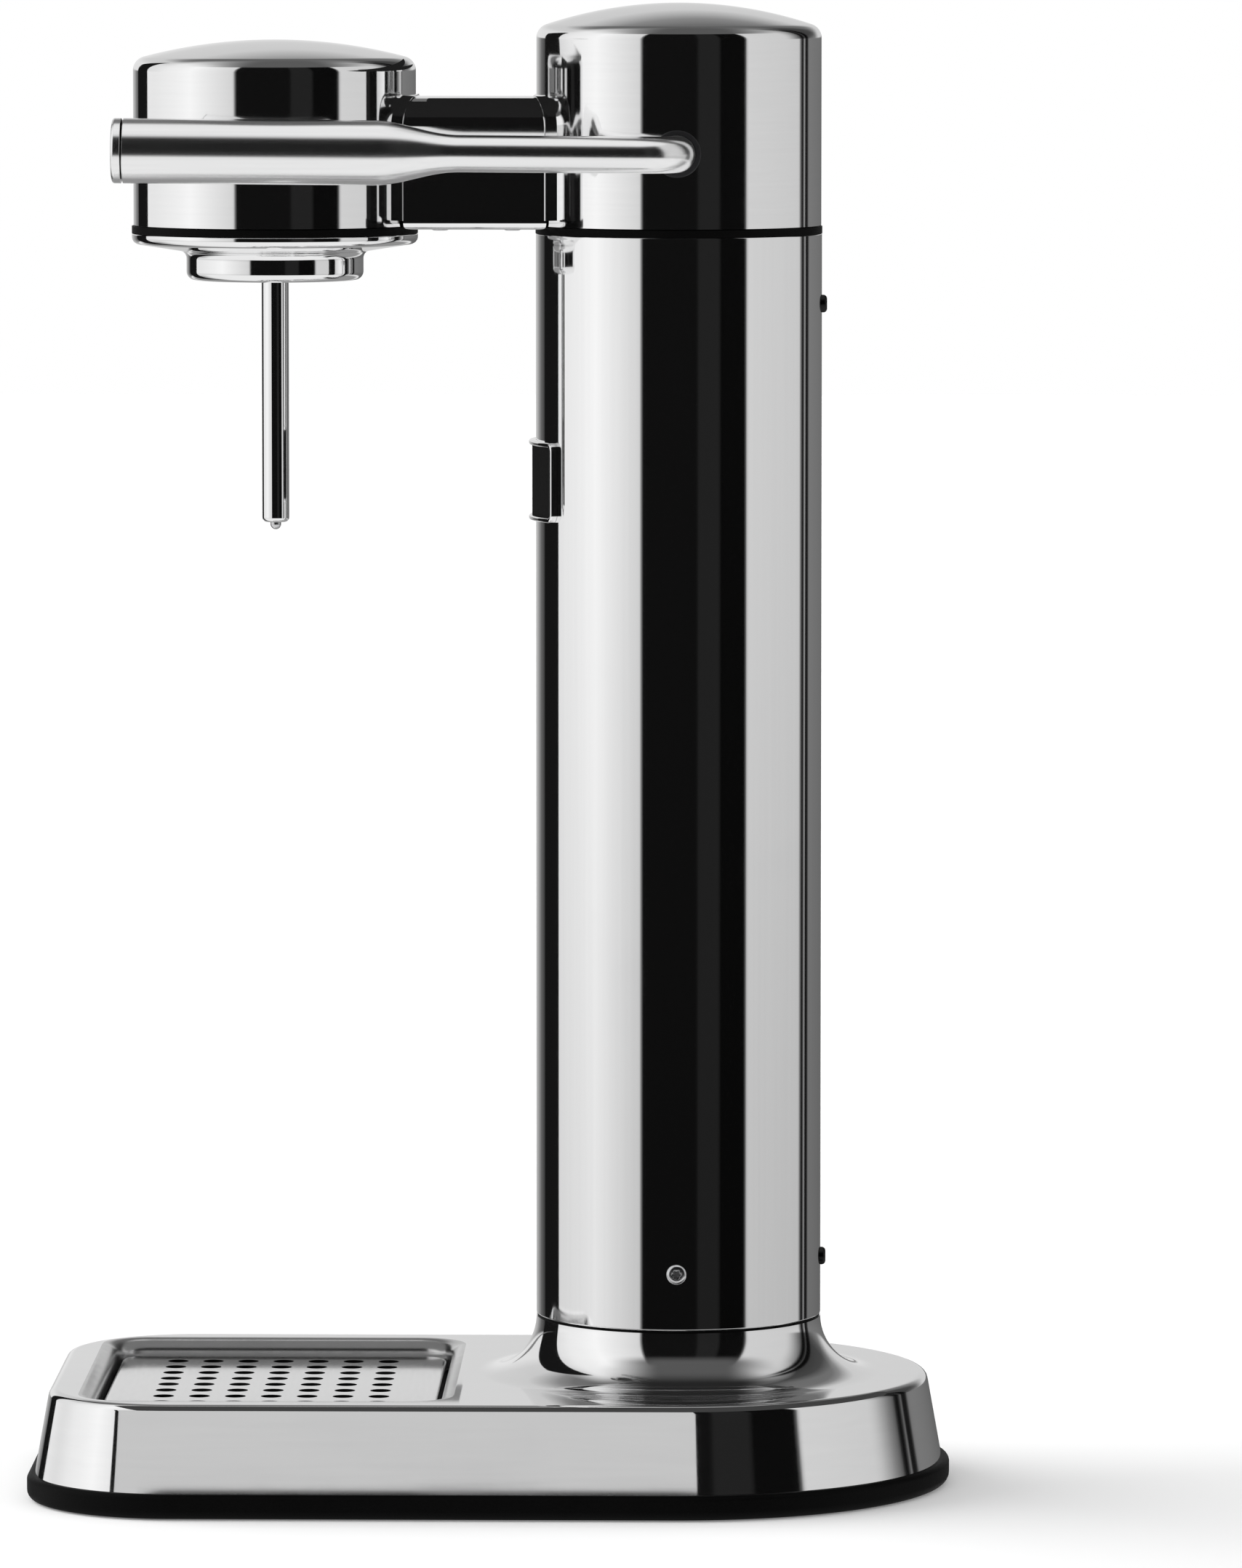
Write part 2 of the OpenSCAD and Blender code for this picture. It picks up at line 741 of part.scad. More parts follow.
module lever_bush() {
    color("black") at_pivot() rotate([0, 90, 0]) difference() {
        union() {
            translate([0, 0, cap_r - bush_l - bush_sink]) cylinder(r = bush_r, h = bush_l);
            translate([0, 0, cap_r - bush_l - bush_sink]) cylinder(r = bush_flange_r, h = bush_flange_t);
        }
        cylinder(r = rod_r + run_gap, h = cap_r + over);
    }
}

// Half outline of the bar from bend to handle end; the taper is half a cosine wave.
module bar_section() {
    steps = 16;
    handle_end = lever_len - end_cap_t - end_line;
    taper = [for (i = [0 : steps])
        [rod_r + (handle_r - rod_r) * (1 - cos(180 * i / steps)) / 2,
            handle_from - taper_len + taper_len * i / steps]];
    polygon(concat([[0, bend_r], [rod_r, bend_r]], taper, [[handle_r, handle_end], [0, handle_end]]));
}

module lever_arm() {
    color("silver") at_pivot() rotate([-lever_tilt, 0, 0]) difference() {
        union() {
            translate([lever_x, 0, 0]) rotate([90, 0, 0]) rotate_extrude() bar_section();
            translate([lever_x - bend_r, -bend_r, 0]) rotate_extrude(angle = 90)
                translate([bend_r, 0]) circle(rod_r);
            translate([journal_end, 0, 0]) rotate([0, 90, 0]) cylinder(r = rod_r,
                h = lever_x - bend_r - journal_end);
        }
        translate([lever_x, -lever_len + end_cap_t + spigot_h, 0]) rotate([90, 0, 0])
            cylinder(r = spigot_r + slip_gap, h = spigot_h + over);
    }
}

module lever_end_cap() {
    rim_r = 0.8;
    color("silver") at_pivot() rotate([-lever_tilt, 0, 0]) translate([lever_x, -lever_len, 0])
        rotate([-90, 0, 0]) {
        rotate_extrude() {
            translate([handle_r - rim_r, rim_r]) circle(rim_r);
            square([handle_r - rim_r, end_cap_t]);
            translate([0, rim_r]) square([handle_r, end_cap_t - rim_r]);
        }
        translate([0, 0, end_cap_t]) cylinder(r = spigot_r, h = spigot_h - 2);
    }
}

module lever_shaft() {
    far = yoke_in + yoke_t + body_gap + clip_t + shaft_end;
    color("gray") at_pivot() translate([-far, 0, 0]) rotate([0, 90, 0]) cylinder(r = shaft_r,
        h = far + journal_end);
}

module lever_cam() {
    color("gainsboro") at_pivot() difference() {
        rotate([-lever_range / 2, 0, 0]) translate([-cam_w / 2, -cam_e, 0]) rotate([0, 90, 0])
            cylinder(r = cam_r, h = cam_w);
        translate([-cam_w, 0, 0]) rotate([0, 90, 0]) cylinder(r = shaft_r + shaft_fit, h = 2 * cam_w);
    }
}

module shaft_clip() {
    color("gray") at_pivot() translate([-yoke_in - yoke_t - body_gap - clip_t, 0, 0]) rotate([0, 90, 0])
        ring(shaft_r + clip_w, shaft_r + shaft_fit, clip_t);
}

// Upper housing

module cap_gasket() {
    color("black") translate([0, column_y, column_top])
        ring(column_r + gasket_proud, column_r - cap_gasket_w, gasket_h);
}

// Half section of a round cap: straight side, shoulder arc and a dome tangent to it.
module cap_section(r, z0, apex, rise, inset) {
    side_top = apex - rise;
    reach = r - shoulder_r;
    crown = apex - shoulder_r;
    dome_z = (crown * crown - reach * reach - side_top * side_top) / (2 * (crown - side_top));
    dome_r = apex - dome_z;
    touch = reach * dome_r / (dome_r - shoulder_r);
    translate([0, z0]) square([r - inset, side_top - z0]);
    translate([reach, side_top]) intersection() {
        circle(shoulder_r - inset);
        translate([-shoulder_r, 0]) square(2 * shoulder_r);
    }
    intersection() {
        translate([0, dome_z]) circle(dome_r - inset, $fn = dome_fn);
        translate([0, side_top]) square([touch - inset * reach / (dome_r - shoulder_r), rise]);
    }
}

module housing_caps(inset, drop) {
    translate([0, column_y, 0]) rotate_extrude()
        cap_section(cap_r, cap_z - drop, cap_z + cap_h, cap_dome_rise, inset);
    translate([0, head_y, 0]) rotate_extrude()
        cap_section(head_r, cap_z - drop, cap_z + head_h, head_dome_rise, inset);
}

// The arm's bar, drawn in by an inset, between the two axes.
module arm_bar(inset, z0) {
    half = arm_w / 2 - inset;
    top = arm_top - inset;
    r = arm_edge_r - inset;
    translate([0, column_y, 0]) rotate([90, 0, 0]) linear_extrude(head_reach) {
        translate([-half, z0]) square([2 * half, top - r - z0]);
        translate([-half + r, top - r]) square([2 * (half - r), r]);
        for (s = [-1, 1]) translate([s * (half - r), top - r]) circle(r);
    }
}

// Fills the upright corner between the arm's side and a cap, toward +Y of the cap.
module arm_fillet(cap) {
    half = arm_w / 2;
    mid_x = half + arm_fillet_r;
    mid_y = sqrt((cap + arm_fillet_r) * (cap + arm_fillet_r) - mid_x * mid_x);
    touch = [mid_x, mid_y] * cap / (cap + arm_fillet_r);
    inside = half - 2;
    translate([0, 0, arm_bottom]) linear_extrude(arm_top - arm_edge_r - arm_bottom) difference() {
        polygon([[inside, mid_y], [mid_x, mid_y], touch, touch - [1, 2], [inside, touch[1] - 2]]);
        translate([mid_x, mid_y]) circle(arm_fillet_r);
    }
}

module arm_fillets() {
    for (s = [0, 1]) mirror([s, 0, 0]) {
        translate([0, head_y, 0]) arm_fillet(head_r);
        translate([0, column_y, 0]) mirror([0, 1, 0]) arm_fillet(cap_r);
    }
}

module upper_housing() {
    color("silver") difference() {
        union() {
            difference() {
                union() {
                    housing_caps(0, 0);
                    arm_bar(0, arm_bottom);
                    arm_fillets();
                }
                housing_caps(housing_wall, over);
                arm_bar(housing_wall, arm_bottom + 0.01);
                translate([housing_wall - arm_w / 2, arm_gap_y0 + 1, arm_bottom - over])
                    cube([arm_w - 2 * housing_wall, arm_gap_y1 - arm_gap_y0 - 2, 2 * over]);
            }
            for (y = arm_screw_ys)
                translate([0, y, arm_bottom]) cylinder(r = boss_r,
                    h = arm_top - arm_bottom - housing_wall / 2);
        }
        for (y = arm_screw_ys)
            translate([0, y, arm_bottom - over]) cylinder(r = screw_r + slip_gap,
                h = screw_hole_depth + over);
        at_pivot() rotate([0, 90, 0]) cylinder(r = bush_r + slip_gap, h = cap_r + over);
    }
}

module arm_plate() {
    half = arm_w / 2 - 1;
    color("silver") translate([0, 0, arm_bottom - arm_plate_t]) difference() {
        translate([-half, arm_gap_y0, 0]) cube([2 * half, arm_gap_y1 - arm_gap_y0, arm_plate_t]);
        translate([0, head_y, -over]) cylinder(r = flange_r + slip_gap, h = arm_plate_t + 2 * over);
        translate([0, column_y, -over]) cylinder(r = column_r + 2 * slip_gap, h = arm_plate_t + 2 * over);
        for (y = arm_screw_ys)
            translate([0, y, -over]) cylinder(r = screw_r + slip_gap, h = arm_plate_t + 2 * over);
    }
}

module arm_screws() {
    color("gray") for (y = arm_screw_ys)
        translate([0, y, arm_bottom - arm_plate_t]) mirror([0, 0, 1])
            pan_screw(arm_screw_r, arm_screw_h, arm_plate_t + screw_bite - 1);
}

// Gas line: out of the block, up into the arm, along it and into the manifold.

// The hose's solid line at a radius: along -Y, up, and along -Y again.
module hose_line(r) {
    rise = hose_z - port_z - 2 * hose_bend_r;
    translate([0, hose_y0, port_z]) rotate([90, 0, 0]) cylinder(r = r, h = hose_y0 - hose_turn_y);
    translate([0, hose_turn_y, port_z + hose_bend_r]) rotate([90, 0, -90]) rotate([0, 0, -90])
        rotate_extrude(angle = 90) translate([hose_bend_r, 0]) circle(r);
    translate([0, hose_turn_y - hose_bend_r, port_z + hose_bend_r]) cylinder(r = r, h = rise);
    translate([0, hose_turn_y - 2 * hose_bend_r, hose_z - hose_bend_r]) rotate([90, 0, 90])
        rotate_extrude(angle = 90) translate([hose_bend_r, 0]) circle(r);
    translate([0, hose_turn_y - 2 * hose_bend_r, hose_z]) rotate([90, 0, 0])
        cylinder(r = r, h = hose_turn_y - 2 * hose_bend_r - hose_y1);
}

module gas_hose() {
    color("dimgray") translate([-hose_side, 0, 0]) difference() {
        hose_line(hose_r);
        hose_line(hose_bore_r);
    }
}

module hose_nut() {
    rotate([90, 0, 0]) difference() {
        cylinder(r = port_r, h = nut_t, $fn = 6);
        translate([0, 0, -over]) cylinder(r = hose_r + slip_gap, h = nut_t + 2 * over);
    }
}

module hose_fittings() {
    color("goldenrod") {
        translate([-hose_side, hose_y0, port_z]) hose_nut();
        translate([-hose_side, hose_y1 + nut_t, hose_z]) hose_nut();
    }
}

// Head

module head_gasket() {
    color("black") translate([0, head_y, flange_top]) ring(flange_r, head_r - head_gasket_w, gasket_h);
}

module head_flange() {
    color("silver") translate([0, head_y, 0]) difference() {
        rotate_extrude() difference() {
            hull() {
                translate([0, flange_top - body_gap]) square([flange_r, body_gap]);
                translate([flange_r - flange_edge_r, flange_z + flange_edge_r]) circle(flange_edge_r);
                translate([0, taper_z + neck_fillet_r]) square([collar_r + neck_fillet_r, over]);
                translate([0, taper_z]) square([collar_r, over]);
            }
            translate([collar_r + neck_fillet_r, taper_z]) circle(neck_fillet_r);
            translate([0, flange_top]) square([flange_r, 2 * flange_edge_r]);
        }
        translate([0, 0, taper_z - over]) cylinder(r = manifold_r + slip_gap,
            h = flange_top - taper_z + 2 * over);
        translate([relief_x, 0, taper_z - over]) cylinder(r = relief_port_r,
            h = flange_top - taper_z + 2 * over);
    }
}

module bottle_collar() {
    color("silver") translate([0, head_y, 0]) rotate_extrude() difference() {
        union() {
            translate([collar_bore_r, collar_z + collar_edge_r])
                square([collar_r - collar_bore_r, collar_h - collar_edge_r]);
            translate([collar_bore_r, collar_z])
                square([collar_r - collar_edge_r - collar_bore_r, collar_edge_r]);
            translate([collar_r - collar_edge_r, collar_z + collar_edge_r]) circle(collar_edge_r);
        }
        square([collar_bore_r, taper_z]);
    }
}

module bottle_seal() {
    color("black") translate([0, head_y, nose_z])
        ring(collar_bore_r - slip_gap, boss_nose_r + slip_gap, seal_t);
}

module nozzle_manifold() {
    color("dimgray") translate([0, head_y, 0]) difference() {
        union() {
            translate([0, 0, taper_z]) cylinder(r = manifold_r, h = flange_top - taper_z + manifold_h);
            translate([0, 0, nose_z]) cylinder(r = boss_nose_r, h = seal_t);
            translate([0, 0, flange_top]) cylinder(r = manifold_r + manifold_rim_w, h = manifold_rim_t);
            translate([-hose_side, 0, hose_z]) rotate([-90, 0, 0]) cylinder(r = port_r, h = manifold_r + 2);
        }
        translate([0, 0, nose_z - over]) cylinder(r = tube_r + slip_gap, h = tube_top - nose_z + over);
        translate([0, 0, tube_top - over]) cylinder(r = tube_bore_r, h = hose_z - tube_top + over);
        translate([-hose_side, 0, hose_z]) rotate([-90, 0, 0]) cylinder(r = hose_bore_r,
            h = manifold_r + 2 + over);
        translate([-hose_side, 0, hose_z]) rotate([0, 90, 0]) cylinder(r = hose_bore_r, h = hose_side);
    }
}

module carbonation_tube() {
    end_r = tube_r - tube_bore_r;
    color("silver") translate([0, head_y, 0]) rotate_extrude() {
        translate([tube_bore_r, tube_z + end_r]) square([tube_r - tube_bore_r, tube_top - tube_z - end_r]);
        intersection() {
            translate([tube_bore_r, tube_z + end_r]) circle(end_r);
            translate([tube_bore_r, tube_z]) square(end_r);
        }
    }
}

module nozzle_tip() {
    plug_h = 8;
    nub_r = tube_bore_r - 0.9;
    color("gray") translate([0, head_y, tube_z]) difference() {
        union() {
            cylinder(r = tube_bore_r - run_gap, h = plug_h);
            translate([0, 0, nub_r - tip_h]) cylinder(r = nub_r, h = tip_h - nub_r);
            translate([0, 0, nub_r - tip_h]) sphere(nub_r);
        }
        translate([0, 0, -tip_h - over]) cylinder(r = jet_r, h = plug_h + tip_h + 2 * over);
    }
}

// Relief valve, standing on the flange inside the head

module at_relief() {
    translate([relief_x, head_y, flange_top]) children();
}

module relief_cage() {
    color("goldenrod") at_relief() difference() {
        cylinder(r = relief_r, h = relief_h);
        translate([0, 0, -over]) cylinder(r = relief_bore_r, h = relief_h - relief_lid_t + over);
        cylinder(r = relief_stem_r + 2 * slip_gap, h = relief_h + over);
    }
}

module relief_poppet() {
    color("gray") at_relief() translate([0, 0, body_gap]) {
        cylinder(r = relief_bore_r - 2 * slip_gap, h = relief_disc_h);
        cylinder(r = relief_stem_r, h = relief_h);
    }
}

module relief_spring() {
    color("gray") at_relief() translate([0, 0, body_gap + relief_disc_h])
        coil_spring(relief_spring_r, relief_wire_r, relief_h - relief_lid_t - relief_disc_h - body_gap,
            relief_spring_turns);
}

base_shell();
base_foot();
base_plate();
floor_screws();
drip_plate();
foot_gasket();
column_tube();
foot_ring();
side_screws();
rear_screws();
badge_plate();
cylinder_guide();
gas_cylinder();
cylinder_valve();
valve_pin();
cylinder_seal();
valve_frame();
valve_block();
valve_plunger();
plunger_spring();
shaft_yoke();
lever_bush();
lever_arm();
lever_end_cap();
lever_shaft();
lever_cam();
shaft_clip();
cap_gasket();
upper_housing();
arm_plate();
arm_screws();
gas_hose();
hose_fittings();
head_gasket();
head_flange();
bottle_collar();
bottle_seal();
nozzle_manifold();
carbonation_tube();
nozzle_tip();
relief_cage();
relief_poppet();
relief_spring();
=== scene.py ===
# %% [markdown]
# # A sparkling water maker in polished steel
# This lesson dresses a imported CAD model. The CAD frame says where everything is, and each cell
# below makes one piece of the machine as it could be made in a workshop: turned, pressed, bent
# or moulded. Mirror-bright steel shows every flaw of a surface, so the shells are built again as
# smooth meshes, and the small inner pieces keep their CAD shape and get a finish.

# %% Load the frame
import json
from math import acos, asin, cos, pi, radians, sin, sqrt, tan

import bmesh
import bpy
from mathutils import Matrix, Vector


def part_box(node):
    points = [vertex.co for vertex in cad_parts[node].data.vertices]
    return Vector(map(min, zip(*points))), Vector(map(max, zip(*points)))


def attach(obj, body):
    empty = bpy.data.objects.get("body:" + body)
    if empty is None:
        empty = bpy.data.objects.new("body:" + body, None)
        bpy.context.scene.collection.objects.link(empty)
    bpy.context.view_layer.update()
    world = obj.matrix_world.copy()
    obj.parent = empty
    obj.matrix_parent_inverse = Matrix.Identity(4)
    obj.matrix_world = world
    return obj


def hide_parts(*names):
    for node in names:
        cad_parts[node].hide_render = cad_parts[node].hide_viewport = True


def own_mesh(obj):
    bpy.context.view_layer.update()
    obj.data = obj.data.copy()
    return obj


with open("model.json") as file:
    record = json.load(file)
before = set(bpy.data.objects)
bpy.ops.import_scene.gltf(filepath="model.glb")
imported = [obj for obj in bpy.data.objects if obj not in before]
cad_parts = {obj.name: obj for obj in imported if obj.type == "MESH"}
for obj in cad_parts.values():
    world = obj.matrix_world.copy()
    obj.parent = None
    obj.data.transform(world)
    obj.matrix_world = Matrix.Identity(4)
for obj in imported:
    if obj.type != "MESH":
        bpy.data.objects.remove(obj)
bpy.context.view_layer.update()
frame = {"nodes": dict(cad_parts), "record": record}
scene = bpy.context.scene
scene.view_settings.view_transform = "Standard"

# %% [markdown]
# ## Sizes
# A drawing of this machine would be in millimetres, so the lesson works in millimetres and scales
# each piece once, when it is placed. Most sizes are read from the CAD boxes, so that a piece sits
# exactly where the CAD piece is.

# %% Read the sizes from the frame
MM = 0.001


def box_mm(node):
    """Lowest and highest corner of a CAD node, in millimetres."""
    low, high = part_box(node)
    return low / MM, high / MM


foot_low, foot_high = box_mm("base_foot")
base_half = foot_high.x
base_front = foot_low.y
base_back = foot_high.y
foot_h = foot_high.z
column_low, column_high = box_mm("column_tube")
column_y = (column_low.y + column_high.y) / 2
column_r = column_high.x
flange_low, flange_high = box_mm("head_flange")
head_y = (flange_low.y + flange_high.y) / 2
flange_r = flange_high.x
housing_low, housing_high = box_mm("upper_housing")
cap_z = housing_low.z
cap_r = housing_high.y - column_y
head_r = head_y - housing_low.y
plate_low, plate_high = box_mm("drip_plate")
joints = {joint["name"]: joint for joint in frame["record"]["behaviour"]["joints"]}
lever_z = joints["lever_pull"]["pos_m"][2] / MM
print(f"column r {column_r:.1f} at y {column_y:.1f}, head r {head_r:.1f} at y {head_y:.1f}")

# %% [markdown]
# ## Camera
# The photograph was taken from far away with a long lens, a little above the machine's middle.
# Its place was worked out from straight edges and circles whose size the CAD knows.

# %% Place the camera
CAMERA_AT = Vector((2.85, 0.0899, 0.4519))
CAMERA_YAW = 0.0188
CAMERA_PITCH = 0.0892
SENSOR_W = 36
FOCAL_LENGTH = 233.95
FAR_CLIP = 50

lens = bpy.data.cameras.new("photo_camera")
lens.sensor_width = SENSOR_W
lens.lens = FOCAL_LENGTH
lens.clip_end = FAR_CLIP
camera = bpy.data.objects.new("photo_camera", lens)
look = Vector((-cos(CAMERA_PITCH) * cos(CAMERA_YAW),
               -cos(CAMERA_PITCH) * sin(CAMERA_YAW),
               -sin(CAMERA_PITCH)))
camera.location = CAMERA_AT
camera.rotation_euler = look.to_track_quat("-Z", "Y").to_euler()
scene.collection.objects.link(camera)
scene.camera = camera
print("camera looks along", [round(v, 3) for v in look])

# %% [markdown]
# ## Shader arithmetic
# A finish is a small sum over noise and position. Writing it as node links hides the sum, so a
# wire wraps one socket and turns plus, minus and times into Math nodes. Every other node comes
# from one method that takes its kind, its settings and its inputs.

# %% A wire for shader sums
class Wire:
    """One output socket of a node tree, with arithmetic."""

    def __init__(self, tree, socket=None):
        self.tree = tree
        self.socket = socket

    def node(self, kind, settings=None, inputs=None, out=0):
        """Adds a node; settings are set first, then inputs get values or links."""
        made = self.tree.nodes.new("ShaderNode" + kind)
        for key, value in (settings or {}).items():
            if key == "stops":
                elements = made.color_ramp.elements
                while len(elements) < len(value):
                    elements.new(0.5)
                for stop, (place, level) in zip(elements, value):
                    stop.position = place
                    stop.color = (level, level, level, 1)
            else:
                setattr(made, key, value)
        for key, value in (inputs or {}).items():
            if isinstance(value, Wire):
                self.tree.links.new(value.socket, made.inputs[key])
            else:
                made.inputs[key].default_value = value
        return Wire(self.tree, made.outputs[out])

    def sum(self, operation, a, b=0.0):
        return self.node("Math", {"operation": operation}, {0: a, 1: b})

    def __add__(self, other):
        return self.sum("ADD", self, other)

    def __sub__(self, other):
        return self.sum("SUBTRACT", self, other)

    def __mul__(self, other):
        return self.sum("MULTIPLY", self, other)

    def __rsub__(self, other):
        return self.sum("SUBTRACT", other, self)

    __radd__ = __add__
    __rmul__ = __mul__

    def ease(self, low, high, start=0.0, end=1.0):
        """Runs smoothly from start to end while this wire goes from low to high."""
        return self.node("MapRange", {"interpolation_type": "SMOOTHSTEP"},
                         {"Value": self, "From Min": low, "From Max": high, "To Min": start, "To Max": end})

    def noise(self, scale, detail=3.0):
        """Noise over these coordinates, about 0 to 1."""
        return self.node("TexNoise", None, {"Vector": self, "Scale": scale, "Detail": detail})

    def stretched(self, x, y, z):
        """These coordinates, scaled along each axis."""
        return self.node("Mapping", {"vector_type": "POINT"}, {"Vector": self, "Scale": (x, y, z)})

    def tint(self, dark, light):
        """A colour between two colours, by this wire."""
        return self.node("Mix", {"data_type": "RGBA"},
                         {"Factor": self, "A": (*dark, 1), "B": (*light, 1)}, out="Result")


print("shader wire ready")

# %% [markdown]
# Every finish starts in the same way: a new material, a wire into its nodes, and the object's own
# coordinates, so that a pattern stays on its piece when the piece moves.

# %% Start a finish
def new_finish(name):
    """An empty material, a wire into its tree, its object coordinates and its shader node."""
    material = bpy.data.materials.new(name)
    material.use_nodes = True
    tree = material.node_tree
    wire = Wire(tree)
    return material, wire, wire.node("TexCoord", out="Object"), tree.nodes["Principled BSDF"]


def feed(wire, shader, **values):
    """Sets the shader's sockets: numbers directly, wires by a link."""
    for name, value in values.items():
        socket = shader.inputs[name.replace("_", " ")]
        if isinstance(value, Wire):
            wire.tree.links.new(value.socket, socket)
        else:
            socket.default_value = value


def grey(level):
    return (level, level, level)


print("finish tools ready")

# %% [markdown]
# ## Finishes
# Polished steel is almost a mirror, so most of its look comes from the studio. What makes it
# steel and not chrome paint is the grain: long fine lines left by the polishing wheel, which
# spread a reflection a little along one way, and faint smudges from handling. The grain runs up
# the column, round the turned pieces, and along the lever.

# %% Polished steel
LINE_SCALE = 60.0
LINE_SHARE = 0.7
SMUDGE_SCALE = 22.0
SMUDGE_FROM, SMUDGE_TO = 0.55, 0.8
SMUDGE_ROUGH = 0.02


def steel(name, grain, rough, streak=0.03, light=grey(0.93), dark=(0.86, 0.86, 0.865)):
    """Polished steel; grain scales the coordinates, so small numbers draw the lines out that way."""
    material, wire, at, shader = new_finish(name)
    lines = at.stretched(*grain).noise(LINE_SCALE, 4.0)
    smudge = at.noise(SMUDGE_SCALE, 5.0).ease(SMUDGE_FROM, SMUDGE_TO)
    wear = lines * LINE_SHARE + smudge * (1 - LINE_SHARE)
    feed(wire, shader, Metallic=1.0, Base_Color=wear.tint(light, dark),
         Roughness=rough + (lines - 0.5) * streak + smudge * SMUDGE_ROUGH)
    return material


finish_column = steel("polished_steel_column", (12, 12, 0.12), 0.045)
finish_turned = steel("polished_steel_turned", (0.6, 0.6, 14), 0.05)
finish_base = steel("polished_steel_base", (1.5, 0.5, 9), 0.05)
finish_lever = steel("polished_steel_lever", (16, 0.3, 16), 0.21, 0.1, dark=(0.82, 0.82, 0.825))
finish_plate = steel("plate_steel", (2, 16, 2), 0.1, 0.05)
finish_satin = steel("satin_steel", (3, 3, 3), 0.24, 0.05, grey(0.74), grey(0.6))
finish_screw = steel("steel_fittings", (9, 9, 9), 0.2, 0.1, (0.72, 0.72, 0.73), (0.5, 0.5, 0.51))
print("steel finishes ready")

# %% [markdown]
# Rubber and moulded plastic are black, yet never one flat black: the mould leaves a fine skin
# texture, and dust makes the raised grains greyer than the pits.

# %% Rubber, plastic, paint, brass and cast metal
SKIN_DEPTH = 0.0002
CLOUD_SCALE = 0.03
GRAIN_SHARE = 0.6
ROUGH_SPREAD = 0.2


def coarse(name, dark, light, rough, bump, scale, metallic=0.0, shine=0.5):
    """A rough skin: grain in colour, roughness and bump from the same noise."""
    material, wire, at, shader = new_finish(name)
    grain = at.noise(scale, 6.0)
    cloud = at.noise(scale * CLOUD_SCALE, 2.0)
    relief = wire.node("Bump", None, {"Strength": bump, "Distance": SKIN_DEPTH, "Height": grain})
    dust = grain * GRAIN_SHARE + cloud * (1 - GRAIN_SHARE)
    feed(wire, shader, Metallic=metallic, Base_Color=dust.tint(dark, light),
         Roughness=rough + (grain - 0.5) * ROUGH_SPREAD, Normal=relief, Specular_IOR_Level=shine)
    return material


# Black rubber for the foot; the lever's end gap also uses it as painted shade.
finish_rubber_and_gap_shade = coarse("black_rubber", grey(0.001), grey(0.004), 0.5, 0.2, 1800.0, shine=0.05)
finish_plastic = coarse("dark_plastic", (0.012, 0.012, 0.013), (0.03, 0.03, 0.032), 0.42, 0.2, 1500.0,
                        shine=0.15)
finish_brass = coarse("brass_fittings", (0.62, 0.44, 0.18), (0.78, 0.6, 0.3), 0.3, 0.1, 900.0, 1.0)
finish_cast = coarse("cast_frame", (0.42, 0.42, 0.43), (0.62, 0.62, 0.63), 0.5, 0.4, 700.0, 1.0)
finish_paint = coarse("cylinder_paint", (0.5, 0.52, 0.55), (0.58, 0.6, 0.63), 0.35, 0.15, 400.0)
# Near black for the well below the plate and for the plate's cut hole walls: painted shade.
finish_painted_shade = coarse("well_painted_shade", grey(0.002), grey(0.008), 0.6, 0.2, 500.0, shine=0.05)
finish_field = coarse("badge_field", grey(0.01), grey(0.02), 0.6, 0.15, 1200.0, shine=0.0)
finish_black = coarse("blackened_steel", grey(0.01), grey(0.03), 0.35, 0.1, 900.0, 1.0)
SLOT_FINISH = {"polished_steel": finish_turned, "plate_steel": finish_plate, "badge_metal": finish_turned,
               "black_rubber": finish_rubber_and_gap_shade, "dark_plastic": finish_plastic, "steel_fittings": finish_screw,
               "brass_fittings": finish_brass, "cast_frame": finish_cast, "cylinder_paint": finish_paint}
print("finishes:", len(bpy.data.materials))

# %% [markdown]
# ## Mesh tools
# Three ways of making surfaces cover the machine: a profile turned about an axis, a section
# carried round a rounded plan, and rings laid along a line. All three lay loops of points and
# skin them with four-sided faces. What stays open and flat is filled.

# %% Profiles
def arc(mid, r, start, end, steps=10):
    """Points on a circle about mid, from angle start to angle end in degrees."""
    angles = [radians(start + (end - start) * i / steps) for i in range(steps + 1)]
    return [(mid[0] + r * cos(a), mid[1] + r * sin(a)) for a in angles]


def rounded(corners, steps=6):
    """A profile through (x, y, radius) corners, each turned into an arc of its radius."""
    path = []
    for i, (x, y, r) in enumerate(corners):
        here = Vector((x, y))
        if r == 0:
            path.append((x, y))
            continue
        back = (Vector(corners[i - 1][:2]) - here).normalized()
        ahead = (Vector(corners[(i + 1) % len(corners)][:2]) - here).normalized()
        half = acos(max(-1, min(1, back.dot(ahead)))) / 2
        mid = here + (back + ahead).normalized() * r / sin(half)
        spoke = here + back * r / tan(half) - mid
        turn = (pi - 2 * half) * (1 if back.cross(ahead) < 0 else -1)
        path += [tuple(mid + Matrix.Rotation(turn * k / steps, 2) @ spoke) for k in range(steps + 1)]
    return path


def closed(profile):
    """A profile that ends where it starts."""
    return profile + profile[:1]


print("profile tools ready")

# %% [markdown]
# A loop is a row of vertices, and skins, fills and turns make faces from loops. Points closer than
# the weld distance become one.

# %% Loops, skins and fills
WELD = 0.001
ROUND_STEPS = 192


def loop(bm, points):
    return [bm.verts.new(p) for p in points]


def skin(bm, loops, around=True):
    """Faces between one loop of vertices and the next, row by row; around closes each loop."""
    count = len(loops[0])
    steps = range(count if around else count - 1)
    return [[bm.faces.new((low[i], low[(i + 1) % count], high[(i + 1) % count], high[i])) for i in steps]
            for low, high in zip(loops, loops[1:])]


def ring_edges(bm, verts):
    """The edges between neighbouring vertices of a closed loop."""
    pairs = zip(verts, verts[1:] + verts[:1])
    return [bm.edges.get(pair) or bm.edges.new(pair) for pair in pairs]


